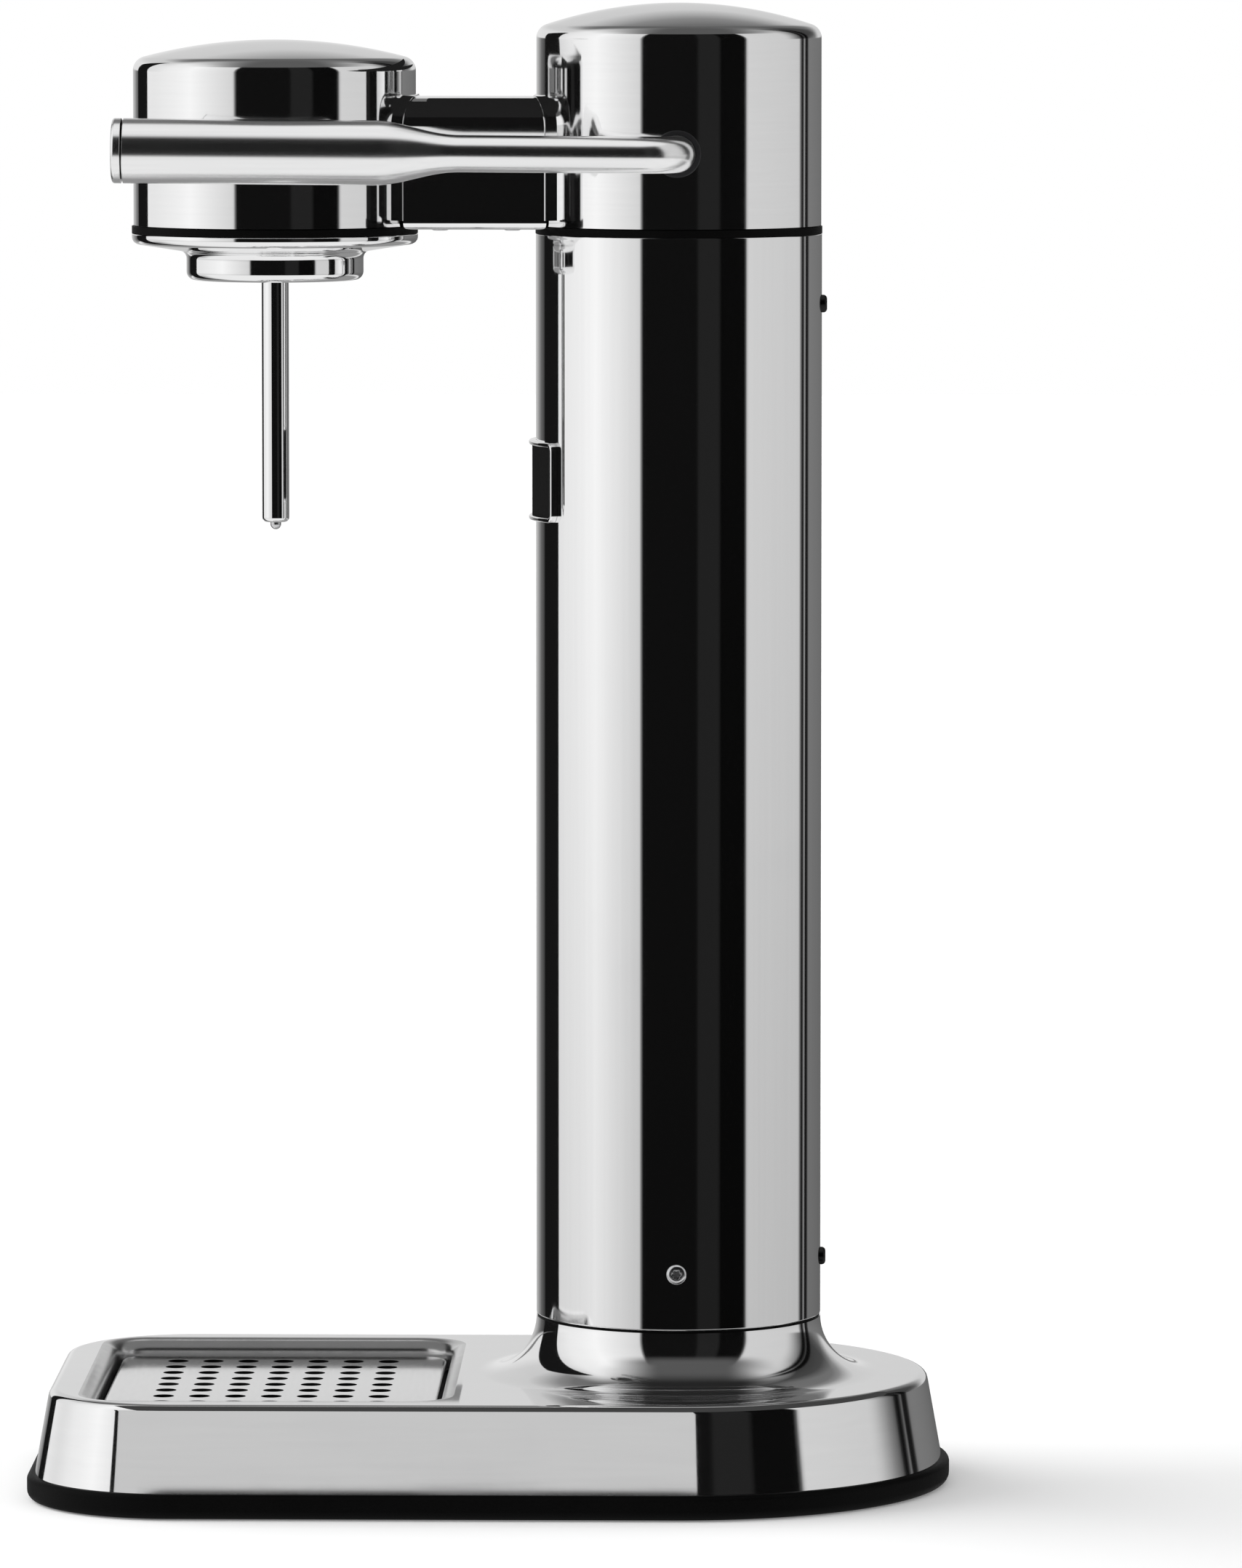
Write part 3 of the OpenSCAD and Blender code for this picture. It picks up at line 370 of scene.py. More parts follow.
def open_edges(bm, z):
    """Welds the mesh and gives its open edges at height z, which outline a missing flat face."""
    bmesh.ops.remove_doubles(bm, verts=bm.verts, dist=WELD)
    return [edge for edge in bm.edges
            if edge.is_boundary and all(abs(v.co.z - z) < WELD for v in edge.verts)]


def fill(bm, edges, normal=(0, 0, 1)):
    """Fills outlines with flat triangles, round any holes, and gives the new faces."""
    made = bmesh.ops.triangle_fill(bm, use_beauty=True, edges=edges, normal=normal)
    return [face for face in made["geom"] if isinstance(face, bmesh.types.BMFace)]


def turned(bm, profile, mid_y, steps=ROUND_STEPS):
    """Turns a profile of (radius, height) points about an upright axis at mid_y."""
    verts = loop(bm, [(r, mid_y, z) for r, z in profile])
    edges = [bm.edges.new(pair) for pair in zip(verts, verts[1:])]
    bmesh.ops.spin(bm, geom=verts + edges, cent=(0, mid_y, 0), axis=(0, 0, 1), angle=2 * pi, steps=steps,
                   use_merge=True, use_duplicate=False)


print("mesh tools ready")

# %% [markdown]
# Every piece is finished in the same way: welded, its faces turned outwards, and scaled to metres.
# Edges that bend more than about thirty degrees stay sharp, and so do open edges, and the rest
# shades smoothly. Then the piece is hung on its body and stands for its CAD node.

# %% Place a piece
SHARP_ANGLE = radians(32)


def place(name, bm, body, finish, slot, nodes, wall=0.0):
    """Scales the mesh to metres and hangs it on its body; wall thickens a skin inwards, in millimetres."""
    bmesh.ops.remove_doubles(bm, verts=bm.verts, dist=WELD)
    bmesh.ops.recalc_face_normals(bm, faces=bm.faces)
    bmesh.ops.transform(bm, matrix=Matrix.Scale(MM, 4), verts=bm.verts)
    bm.edges.index_update()
    open_rim = [edge.index for edge in bm.edges if edge.is_boundary]
    mesh = bpy.data.meshes.new(name)
    bm.to_mesh(mesh)
    bm.free()
    mesh.shade_smooth()
    mesh.set_sharp_from_angle(angle=SHARP_ANGLE)
    for index in open_rim:
        mesh.edges[index].use_edge_sharp = True
    piece = bpy.data.objects.new(name, mesh)
    scene.collection.objects.link(piece)
    if wall:
        shell = piece.modifiers.new("wall", "SOLIDIFY")
        shell.thickness = wall * MM
        shell.offset = -1
    weighted = piece.modifiers.new("even_shading", "WEIGHTED_NORMAL")
    weighted.keep_sharp = True
    mesh.materials.append(finish)
    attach(piece, body)
    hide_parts(*nodes)
    print(f"{name}: {len(mesh.polygons)} faces")
    return piece


print("pieces can be placed")

# %% [markdown]
# ## Base
# The base is one pressed steel sheet: a leaning skirt, a flat top with a sunken drip well, and a
# flare that rises to the column. Its plan is a rectangle with round front corners and a half
# circle at the back, about the column's axis, so every line of the skirt is the same plan drawn in.

# %% Plans
FRONT_CORNER = 42.0
CORNER_STEPS = 28


def plan(half, y0, y1, r0, r1, z):
    """A rounded rectangle at height z: half width, front and back line, front and back corner radius."""
    corners = [(half - r1, y1 - r1, r1, 0), (r1 - half, y1 - r1, r1, 90),
               (r0 - half, y0 + r0, r0, 180), (half - r0, y0 + r0, r0, 270)]
    return [(x, y, z) for cx, cy, r, a in corners for x, y in arc((cx, cy), r, a, a + 90, CORNER_STEPS)]


def base_plan(inset, z):
    """The base's plan at height z, drawn in by an inset."""
    return plan(base_half - inset, base_front + inset, base_back - inset,
                FRONT_CORNER - inset, base_half - inset, z)


print(f"base plan: {2 * base_half:.1f} wide, {base_back - base_front:.1f} deep")

# %% [markdown]
# The foot is a moulded rubber band under the skirt. It stands a little proud, and it is rounder
# below than above, because the lower edge has to roll over the table's grit.

# %% Rubber foot
FOOT_W = 9.0
FOOT_LOW_R = 2.5
FOOT_TOP_R = 1.5
band = rounded([(0, 0, FOOT_LOW_R), (0, foot_h, FOOT_TOP_R), (-FOOT_W, foot_h, 0), (-FOOT_W, 0, 0)])
bm = bmesh.new()
loops = [loop(bm, base_plan(-x, z)) for x, z in band]
skin(bm, closed(loops))
place("foot_band", bm, "stand", finish_rubber_and_gap_shade, "black_rubber", ["base_foot"])

# %% [markdown]
# The skirt leans in, rolls over a small edge and becomes the flat top. Beside this bend, and beside
# those of the well and the flare, runs a narrow flat strip. It keeps the bend's soft shading from
# spreading over the wide flat, which has to mirror the column without a ripple.

# %% Skirt of the base
FOOT_LIP = 2.2
SKIRT_LEAN = 4.3
EDGE_R = 2.5
EDGE_STEPS = 12
FLAT_EDGE = 0.2
NECK_R = 16.0
SEAM_H = 0.6
base_h = column_low.z - SEAM_H - NECK_R
lean_top = FOOT_LIP + SKIRT_LEAN

base_bm = bmesh.new()
skirt = rounded([(FOOT_LIP, foot_h, 0), (lean_top, base_h, EDGE_R), (lean_top + 2 * EDGE_R, base_h, 0)],
                EDGE_STEPS)[:-1]
skirt.append((skirt[-1][0] + FLAT_EDGE, base_h))
skin(base_bm, [loop(base_bm, base_plan(inset, z)) for inset, z in skirt])
print(f"skirt: {len(skirt)} lines, top at {base_h:.1f}")

# %% [markdown]
# The drip well is pressed into the top: a rolled rim, a wall, a ledge that carries the plate, and a
# floor. Nobody polishes it, so its rim stays satin. Below the plate it is painted near black, as
# painted shade, so the plate's holes read black.

# %% Drip well
WELL_RIM = 4.0
WELL_CORNER = 9.5
WELL_GAP = 1.5
WELL_FLOOR = 14.0
LEDGE_W = 5.0
LEDGE_GAP = 0.3
LEDGE_R = 1.0
FLOOR_R = 1.5
FLOOR_EDGE = 4.0
SATIN, PAINTED_SHADE = 1, 2
ledge_z = plate_low.z - LEDGE_GAP


def well_plan(grow, z):
    """The outline of the well's wall at height z, grown outwards."""
    return plan(plate_high.x + WELL_GAP + grow, plate_low.y - WELL_GAP - grow, plate_high.y + WELL_GAP + grow,
                WELL_CORNER + grow, WELL_CORNER + grow, z)


rim = [(WELL_RIM + FLAT_EDGE, base_h)] + arc((WELL_RIM, base_h - WELL_RIM), WELL_RIM, 90, 180)
pan = rounded([(0, base_h - WELL_RIM, 0), (0, ledge_z, LEDGE_R), (-LEDGE_W, ledge_z, LEDGE_R),
               (-LEDGE_W, WELL_FLOOR, FLOOR_R), (-LEDGE_W - FLOOR_EDGE, WELL_FLOOR, 0)])[1:]
well_loops = [loop(base_bm, well_plan(grow, z)) for grow, z in rim + pan]
rows = skin(base_bm, well_loops)
rows.append(fill(base_bm, ring_edges(base_bm, well_loops[-1])))
# Rim rows are satin; the rows below them are painted near black as painted shade.
for number, row in enumerate(rows[1:]):
    for face in row:
        face.material_index = SATIN if number < len(rim) else PAINTED_SHADE
print(f"well: {len(rows)} rows, ledge at {ledge_z:.1f}")

# %% [markdown]
# The flare is a quarter circle turned about the column's axis. What is still open is the flat top,
# between three outlines: the skirt, the well's rim and the flare's foot. It is filled as one flat
# face, and the sheet then gets its thickness.

# %% Flare and flat top
BASE_WALL = 1.5
NECK_FLAT = 1.0
NECK_STEPS = 20
neck = [(column_r + NECK_R + NECK_FLAT, base_h)]
neck += arc((column_r + NECK_R, base_h + NECK_R), NECK_R, 270, 180, NECK_STEPS)
neck.append((column_r - BASE_WALL, base_h + NECK_R))
around = [2 * pi * i / ROUND_STEPS for i in range(ROUND_STEPS)]
skin(base_bm, [loop(base_bm, [(r * cos(a), column_y + r * sin(a), z) for a in around]) for r, z in neck])
fill(base_bm, open_edges(base_bm, base_h))
pressing = place("base_pressing", base_bm, "stand", finish_base, "polished_steel", ["base_shell"],
                 wall=BASE_WALL)
# Slot 1 is the satin rim, slot 2 the painted shade below the plate.
pressing.data.materials.append(finish_satin)
pressing.data.materials.append(finish_painted_shade)

# %% [markdown]
# The drip plate is a stamped steel tray turned upside down: a flat field with a grid of punched
# holes, and an edge pressed down all round. It is filled as one flat face between its outline and
# the holes, and the wall then gives each hole its depth. Its cut walls are near black: painted shade.

# %% Drip plate
HOLE_R = 2.95
HOLE_PITCH = 10.07
ROW_PITCH = 11.2
HOLE_ROWS = 9
HOLE_COLUMNS = 7
HOLE_STEPS = 24
PLATE_EDGE = 1.2
PLATE_EDGE_STEPS = 6
PLATE_CORNER = WELL_CORNER - WELL_GAP
plate_mid_y = (plate_low.y + plate_high.y) / 2


def plate_plan(inset, z):
    """The plate's outline at height z, drawn in by an inset."""
    return plan(plate_high.x - inset, plate_low.y + inset, plate_high.y - inset,
                PLATE_CORNER - inset, PLATE_CORNER - inset, z)


bm = bmesh.new()
edge = [(0, plate_low.z)]
edge += arc((PLATE_EDGE, plate_high.z - PLATE_EDGE), PLATE_EDGE, 180, 90, PLATE_EDGE_STEPS)
skin(bm, [loop(bm, plate_plan(inset, z)) for inset, z in edge])
outlines = open_edges(bm, plate_high.z)
for row in range(HOLE_ROWS):
    for column in range(HOLE_COLUMNS):
        spot = Matrix.Translation(((row - (HOLE_ROWS - 1) / 2) * ROW_PITCH,
                                   plate_mid_y + (column - (HOLE_COLUMNS - 1) / 2) * HOLE_PITCH,
                                   plate_high.z))
        hole = bmesh.ops.create_circle(bm, segments=HOLE_STEPS, radius=HOLE_R, matrix=spot)
        outlines += ring_edges(bm, hole["verts"])
fill(bm, outlines)
drip = place("drip_tray_plate", bm, "drip_plate", finish_plate, "plate_steel", ["drip_plate"],
             wall=PLATE_EDGE)
# The cut walls of the holes take the near black painted shade.
drip.data.materials.append(finish_painted_shade)
drip.modifiers["wall"].material_offset_rim = 1

# %% [markdown]
# ## Column
# The column is a drawn tube with a hair of rounding at both cut ends. A black seam parts it from
# the base's flare.

# %% Column tube
COLUMN_WALL = 1.2
CUT_EDGE = 0.3
FOOT_EDGE = 0.5
FINE_STEPS = 256
inside = column_r - COLUMN_WALL
pipe = rounded([(inside, column_low.z, 0), (column_r, column_low.z, FOOT_EDGE),
                (column_r, column_high.z, CUT_EDGE), (inside, column_high.z, 0)])
bm = bmesh.new()
turned(bm, closed(pipe), column_y, FINE_STEPS)
place("column_pipe", bm, "stand", finish_column, "polished_steel", ["column_tube"])

# %% [markdown]
# ## Upper housing
# Two round caps carry the arm between them. Each cap is turned: a straight side, a small shoulder
# and a shallow dome that leaves the shoulder without a kink, so the dome's middle is worked out
# from the shoulder's.

# %% Caps
SHOULDER_R = 4.0
SHOULDER_STEPS = 14
DOME_STEPS = 40
CAP_DOME = 9.8
HEAD_DOME = 8.6
HEAD_H = 51.9


def cap_profile(r, apex, rise):
    """Outline of a cap from its rim to the middle of its dome."""
    side_top = apex - rise
    reach = r - SHOULDER_R
    crown = apex - SHOULDER_R
    dome_z = (crown ** 2 - reach ** 2 - side_top ** 2) / (2 * (crown - side_top))
    dome_r = apex - dome_z
    lean = asin(reach / (dome_r - SHOULDER_R)) * 180 / pi
    shoulder = arc((reach, side_top), SHOULDER_R, 0, 90 - lean, SHOULDER_STEPS)
    dome = arc((0, dome_z), dome_r, 90 - lean, 90, DOME_STEPS)[1:]
    return [(r - CUT_EDGE, cap_z), (r, cap_z + CUT_EDGE)] + shoulder + dome


housing_bm = bmesh.new()
turned(housing_bm, cap_profile(cap_r, housing_high.z, CAP_DOME), column_y, FINE_STEPS)
turned(housing_bm, cap_profile(head_r, cap_z + HEAD_H, HEAD_DOME), head_y, FINE_STEPS)
print(f"caps: {len(housing_bm.faces)} faces")

# %% [markdown]
# The arm is a bent channel. Where it runs into a cap, a ball rolled along both surfaces gives the
# rounded corner: its middle is one ball radius off the arm and off the cap.

# %% Arm
HOUSING_WALL = 2.0
ARM_HALF = 17.5
ARM_H = 34.0
ARM_EDGE = 6.0
ARM_EDGE_STEPS = 8
ARM_FOOT = 2.0
ARM_FILLET = 2.5
FILLET_STEPS = 20


def arm_section():
    """Points of the arm's outline with the direction that each faces, in X and Z."""
    top = cap_z + ARM_H - ARM_EDGE
    side = [((ARM_HALF, cap_z + ARM_FOOT), (1, 0)), ((ARM_HALF, top), (1, 0))]
    for k in range(1, ARM_EDGE_STEPS + 1):
        a = pi / 2 * k / ARM_EDGE_STEPS
        side.append(((ARM_HALF - ARM_EDGE + ARM_EDGE * cos(a), top + ARM_EDGE * sin(a)), (cos(a), sin(a))))
    return side + [((-x, z), (-nx, nz)) for (x, z), (nx, nz) in reversed(side)]


def arm_end(spot, facing, mid_y, r, way):
    """Points from the cap's side out to the arm along the rolled ball, for one point of the section."""
    out = Vector((facing[0], 0, facing[1]))
    ball = Vector((spot[0], 0, spot[1])) + out * ARM_FILLET
    ball.y = mid_y + way * sqrt((r + ARM_FILLET) ** 2 - ball.x ** 2)
    to_cap = Vector((-ball.x, mid_y - ball.y, 0)).normalized()
    full = acos(max(-1, min(1, to_cap.dot(-out))))
    points = []
    for k in range(FILLET_STEPS + 1):
        near_cap = sin(full * (1 - k / FILLET_STEPS))
        near_arm = sin(full * k / FILLET_STEPS)
        points.append(ball + ARM_FILLET * (to_cap * near_cap - out * near_arm) / sin(full))
    return points


rows = [arm_end(spot, facing, head_y, head_r, 1) + arm_end(spot, facing, column_y, cap_r, -1)[::-1]
        for spot, facing in arm_section()]
skin(housing_bm, [loop(housing_bm, points) for points in rows], around=False)
place("upper_shell", housing_bm, "stand", finish_turned, "polished_steel", ["upper_housing"],
      wall=HOUSING_WALL)

# %% [markdown]
# A thin steel plate closes the arm from below. Its lower edges are rolled, and its ends are cut
# round, clear of the gaskets.

# %% Arm plate
PLATE_ROLL = 2.0
ROLL_STEPS = 8
ACROSS_STEPS = 24
HEAD_CLEAR = 0.1
COLUMN_CLEAR = 0.2
closing_low, closing_high = box_mm("arm_plate")
closing_half = closing_high.x
under_z, over_z = closing_low.z, closing_high.z
across = [k / ACROSS_STEPS * 2 - 1 for k in range(1, ACROSS_STEPS)]


def plate_ends(x):
    """Where the plate ends at a distance from the middle plane: the two round cuts."""
    return (head_y + sqrt((flange_r + HEAD_CLEAR) ** 2 - x * x),
            column_y - sqrt((column_r + COLUMN_CLEAR) ** 2 - x * x))


rolled = rounded([(-closing_half, over_z, 0), (-closing_half, under_z, PLATE_ROLL),
                  (closing_half, under_z, PLATE_ROLL), (closing_half, over_z, 0)], ROLL_STEPS)
half = len(rolled) // 2
underside = [(x * (closing_half - PLATE_ROLL), under_z) for x in across]
topside = [(x * closing_half, over_z) for x in reversed(across)]
section = rolled[:half] + underside + rolled[half:] + topside
bm = bmesh.new()
ends = [loop(bm, [(x, plate_ends(x)[side], z) for x, z in section]) for side in (0, 1)]
skin(bm, ends)
for end in ends:
    fill(bm, ring_edges(bm, end), normal=(0, 0, 0))
place("arm_closing_plate", bm, "stand", finish_turned, "polished_steel", ["arm_plate"])

# %% [markdown]
# ## Head
# Under the head cap sit a turned flange, rounded at its rim and sloping in below, and the collar
# that a bottle's neck goes into. The carbonation tube hangs in its middle.

# %% Flange, collar and tube
COLLAR_R = 24.75
COLLAR_BORE = 20.5
COLLAR_EDGE = 2.4
BORE_EDGE = 0.8
FLANGE_T = 2.8
FLANGE_EDGE = 2.1
FLANGE_TOP_EDGE = 0.4
NECK_HOLLOW = 2.2
MANIFOLD_BORE = 12.9
TUBE_BORE = 2.4
TUBE_EDGE = 1.35
SMALL_STEPS = 96
HEAD_STEPS = 12
TUBE_STEPS = 8
collar_low, collar_high = box_mm("bottle_collar")
tube_low, tube_high = box_mm("carbonation_tube")
tube_r = tube_high.x

flange = rounded([(MANIFOLD_BORE, flange_high.z, 0), (flange_r, flange_high.z, FLANGE_TOP_EDGE),
                  (flange_r, flange_high.z - FLANGE_T, FLANGE_EDGE),
                  (COLLAR_R, flange_low.z + NECK_HOLLOW, NECK_HOLLOW), (COLLAR_R, flange_low.z, 0),
                  (MANIFOLD_BORE, flange_low.z, 0)], HEAD_STEPS)
bm = bmesh.new()
turned(bm, closed(flange), head_y)
place("head_flange_ring", bm, "stand", finish_turned, "polished_steel", ["head_flange"])

collar = rounded([(COLLAR_BORE, collar_high.z, 0), (COLLAR_R, collar_high.z, 0),
                  (COLLAR_R, collar_low.z, COLLAR_EDGE), (COLLAR_BORE, collar_low.z, BORE_EDGE)], HEAD_STEPS)
bm = bmesh.new()
turned(bm, closed(collar), head_y)
place("bottle_collar_ring", bm, "stand", finish_turned, "polished_steel", ["bottle_collar"])

tube = rounded([(TUBE_BORE, tube_high.z, 0), (tube_r, tube_high.z, 0), (tube_r, tube_low.z, TUBE_EDGE),
                (TUBE_BORE, tube_low.z, 0)], TUBE_STEPS)
bm = bmesh.new()
turned(bm, closed(tube), head_y, SMALL_STEPS)
place("tube_pipe", bm, "stand", finish_column, "polished_steel", ["carbonation_tube"])

# %% [markdown]
# ## Lever
# The lever is one bar: a handle, a taper down to a rod, a bend, and the stub that goes into the
# column. Rings laid along its middle line make it in one skin. At rest it rises a hair.

# %% Lever bar
ROD_R = 5.1
HANDLE_R = 8.95
BEND_R = 11.0
BEND_STEPS = 24
LEVER_X = 53.0
LEVER_LEN = 154.9
HANDLE_FROM = 83.7
TAPER = 24.1
TAPER_STEPS = 24
END_CAP = 2.6
END_LINE = 0.35
END_EDGE = 0.25
JOURNAL_IN = 10
LEVER_TILT = radians(0.45)
lever_frame = Matrix.Translation((0, column_y, lever_z)) @ Matrix.Rotation(-LEVER_TILT, 4, "X")


def bar_radius(s):
    """Radius of the bar at a distance from the pivot: half a cosine wave from rod to handle."""
    t = max(0, min(1, (s - HANDLE_FROM + TAPER) / TAPER))
    return ROD_R + (HANDLE_R - ROD_R) * (1 - cos(pi * t)) / 2


def bar_ring(bm, mid, turn, r):
    """A ring about a point of the middle line, turned from facing -Y by an angle about Z."""
    side = Vector((cos(turn), sin(turn), 0))
    angles = [2 * pi * i / SMALL_STEPS for i in range(SMALL_STEPS)]
    return loop(bm, [mid + r * (side * cos(a) + Vector((0, 0, sin(a)))) for a in angles])


bm = bmesh.new()
handle_end = LEVER_LEN - END_CAP - END_LINE
rings = [bar_ring(bm, Vector((LEVER_X, -handle_end, 0)), 0, HANDLE_R - END_EDGE)]
stations = [handle_end - END_EDGE]
stations += [HANDLE_FROM - TAPER * k / TAPER_STEPS for k in range(TAPER_STEPS + 1)] + [BEND_R]
rings += [bar_ring(bm, Vector((LEVER_X, -s, 0)), 0, bar_radius(s)) for s in stations]
for k in range(1, BEND_STEPS + 1):
    a = pi / 2 * k / BEND_STEPS
    mid = Vector((LEVER_X - BEND_R + BEND_R * cos(a), -BEND_R + BEND_R * sin(a), 0))
    rings.append(bar_ring(bm, mid, a, ROD_R))
rings.append(bar_ring(bm, Vector((cap_r - JOURNAL_IN, 0, 0)), pi / 2, ROD_R))
skin(bm, rings)
bm.faces.new(rings[0])
bm.faces.new(rings[-1])
bmesh.ops.transform(bm, matrix=lever_frame, verts=bm.verts)
place("lever_bar", bm, "lever", finish_lever, "polished_steel", ["lever_arm"])

# %% [markdown]
# A cap closes the handle's end. The thin line between them is a real gap, and the cap's spigot at
# its bottom is given black rubber: painted shade that keeps the line dark.

# %% Lever end cap
CAP_ROLL = 0.9
CAP_STEPS = 8
SPIGOT_IN = 1.2
LINE_SLACK = 0.02
spigot_r = HANDLE_R - SPIGOT_IN
end_disc = rounded([(0, 0, 0), (HANDLE_R, 0, CAP_ROLL), (HANDLE_R, END_CAP, END_EDGE), (spigot_r, END_CAP, 0),
                    (spigot_r, END_CAP + END_LINE, 0), (0, END_CAP + END_LINE, 0)], CAP_STEPS)
bm = bmesh.new()
turned(bm, end_disc, 0, SMALL_STEPS)
turn = Matrix.Translation((LEVER_X, -LEVER_LEN, 0)) @ Matrix.Rotation(-pi / 2, 4, "X")
bmesh.ops.transform(bm, matrix=lever_frame @ turn, verts=bm.verts)
disc = place("lever_end_disc", bm, "lever", finish_lever, "polished_steel", ["lever_end_cap"])
# Black rubber on the spigot is painted shade at the bottom of the gap.
disc.data.materials.append(finish_rubber_and_gap_shade)
line_y = column_y - LEVER_LEN + END_CAP
for face in disc.data.polygons:
    face.material_index = int(face.center.y > (line_y - LINE_SLACK) * MM)

# %% [markdown]
# The rod turns in a plastic bush in the column's cap. Only the bush's rim shows, a hair proud.

# %% Lever bush
BUSH_T = 1.5
BUSH_CLEAR = 0.05
BUSH_IN = 6.5
BUSH_OUT = 0.15
BUSH_EDGE = 0.4
BUSH_BORE_EDGE = 0.2
bush_r = ROD_R + BUSH_T
bush_bore = ROD_R + BUSH_CLEAR
bush = rounded([(bush_bore, cap_r - BUSH_IN, 0), (bush_r, cap_r - BUSH_IN, 0),
                (bush_r, cap_r + BUSH_OUT, BUSH_EDGE), (bush_bore, cap_r + BUSH_OUT, BUSH_BORE_EDGE)])
bm = bmesh.new()
turned(bm, closed(bush), 0, SMALL_STEPS)
turn = Matrix.Translation((0, column_y, lever_z)) @ Matrix.Rotation(pi / 2, 4, "Y")
bmesh.ops.transform(bm, matrix=turn, verts=bm.verts)
place("lever_bush_ring", bm, "stand", finish_plastic, "dark_plastic", ["lever_bush"])

# %% [markdown]
# ## Screws
# Pan heads with a six-lobed socket hold the column and the arm's plate. A head is turned, and the
# socket's round wall is then pushed in and out six times. Most details go by the head's own size.

# %% One screw head
SCREW_STEPS = 72
SEAT_DEPTH = 0.6
CROWN_SHARE = 0.45
CROWN_FULL = 0.95
CROWN_STEPS = 5
SOCKET_SHARE = 0.42
SOCKET_EDGE = 0.1
SOCKET_FLOOR = 0.2
LOBES = 6
LOBE_DEPTH = 0.14
LOBE_FROM, LOBE_TO = 0.5, 1.15


def screw_head(bm, spot, facing, head_r, head_h):
    """One pan head on a surface: its seat at spot, its axis along facing."""
    socket = head_r * SOCKET_SHARE
    crown = min(head_h, head_r * CROWN_SHARE) * CROWN_FULL
    part = bmesh.new()
    profile = rounded([(0, -SEAT_DEPTH, 0), (head_r, -SEAT_DEPTH, 0), (head_r, head_h, crown),
                       (socket, head_h, SOCKET_EDGE), (socket, head_h * SOCKET_FLOOR, 0),
                       (0, head_h * SOCKET_FLOOR, 0)], CROWN_STEPS)
    turned(part, profile, 0, SCREW_STEPS)
    for v in part.verts:
        spoke = Vector((v.co.x, v.co.y))
        if LOBE_FROM * socket < spoke.length < LOBE_TO * socket:
            lobe = 1 + LOBE_DEPTH * cos(LOBES * Vector((1, 0)).angle_signed(spoke))
            v.co.x *= lobe
            v.co.y *= lobe
    turn = Vector(facing).to_track_quat("Z", "Y").to_matrix().to_4x4()
    bmesh.ops.transform(part, matrix=Matrix.Translation(spot) @ turn, verts=part.verts)
    carrier = bpy.data.meshes.new("screw")
    part.to_mesh(carrier)
    part.free()
    bm.from_mesh(carrier)
    bpy.data.meshes.remove(carrier)


print("screw head ready")

# %% [markdown]
# Two heads sit on the column's sides near its foot, two on its back, and two under the arm. The ones
# on the back are blackened.

# %% Screw heads
PAN_HEAD_R = 2.5


def screws(name, node, finish, spots, facings, head_r, head_h):
    """A set of heads as one piece."""
    bm = bmesh.new()
    for spot, facing in zip(spots, facings):
        screw_head(bm, spot, facing, head_r, head_h)
    place(name, bm, "stand", finish, "steel_fittings", [node])


low, high = box_mm("side_screws")
side_z = (low.z + high.z) / 2
spots = [(column_r, column_y, side_z), (-column_r, column_y, side_z)]
screws("side_screw_heads", "side_screws", finish_screw, spots, [(1, 0, 0), (-1, 0, 0)],
       high.z - side_z, high.x - column_r)
low, high = box_mm("rear_screws")
spots = [(0, column_y + column_r, z) for z in (low.z + PAN_HEAD_R, high.z - PAN_HEAD_R)]
screws("rear_screw_heads", "rear_screws", finish_black, spots, [(0, 1, 0)] * 2,
       PAN_HEAD_R, high.y - column_y - column_r)
low, high = box_mm("arm_screws")
spots = [(0, y, under_z) for y in (low.y + PAN_HEAD_R, high.y - PAN_HEAD_R)]
screws("arm_screw_heads", "arm_screws", finish_screw, spots, [(0, 0, -1)] * 2,
       PAN_HEAD_R, under_z - low.z)

# %% [markdown]
# ## Badge plate
# A small plate is bent round the column's front, with a raised bright rim and a dark field, which
# stays bare. It is drawn flat, cut into narrow strips and then bent, as a metalworker would.

# %% Badge
BADGE_RIM = 1.3
BADGE_CORNER = 2.2
BADGE_DEPTH = 0.9
BADGE_SEAT = 0.05
BADGE_OUT_R = 0.45
BADGE_IN_R = 0.4
BADGE_STEPS = 5
STRIPS = 48
low, high = box_mm("badge_plate")
seat_r = column_r + BADGE_SEAT
badge_t = column_y - low.y - seat_r
badge_half = seat_r * asin(high.x / (seat_r + badge_t))
badge_mid = (low.z + high.z) / 2
badge_tall = (high.z - low.z) / 2


def badge_loop(bm, inset, depth):
    """The flat badge's outline, drawn in by an inset, at a depth over the column."""
    return loop(bm, plan(badge_half - inset, inset - badge_tall, badge_tall - inset,
                         BADGE_CORNER - inset, BADGE_CORNER - inset, depth))


bm = bmesh.new()
section = rounded([(0, 0, 0), (0, badge_t, BADGE_OUT_R), (BADGE_RIM, badge_t, BADGE_IN_R),
                   (BADGE_RIM, badge_t - BADGE_DEPTH, 0)], BADGE_STEPS)
loops = [badge_loop(bm, inset, depth) for inset, depth in section]
skin(bm, loops)
fill(bm, ring_edges(bm, loops[-1]))
for k in range(1, STRIPS):
    cut = badge_half * (2 * k / STRIPS - 1)
    whole = bm.verts[:] + bm.edges[:] + bm.faces[:]
    bmesh.ops.bisect_plane(bm, geom=whole, plane_co=(cut, 0, 0), plane_no=(1, 0, 0))
for v in bm.verts:
    along, up, depth = v.co
    angle = along / seat_r
    v.co = ((seat_r + depth) * sin(angle), column_y - (seat_r + depth) * cos(angle), badge_mid + up)
badge = place("badge_plate_bare", bm, "stand", finish_turned, "badge_metal", ["badge_plate"])

# %% [markdown]
# The field lies deeper than the rim, so its faces are found by their distance from the column's axis.

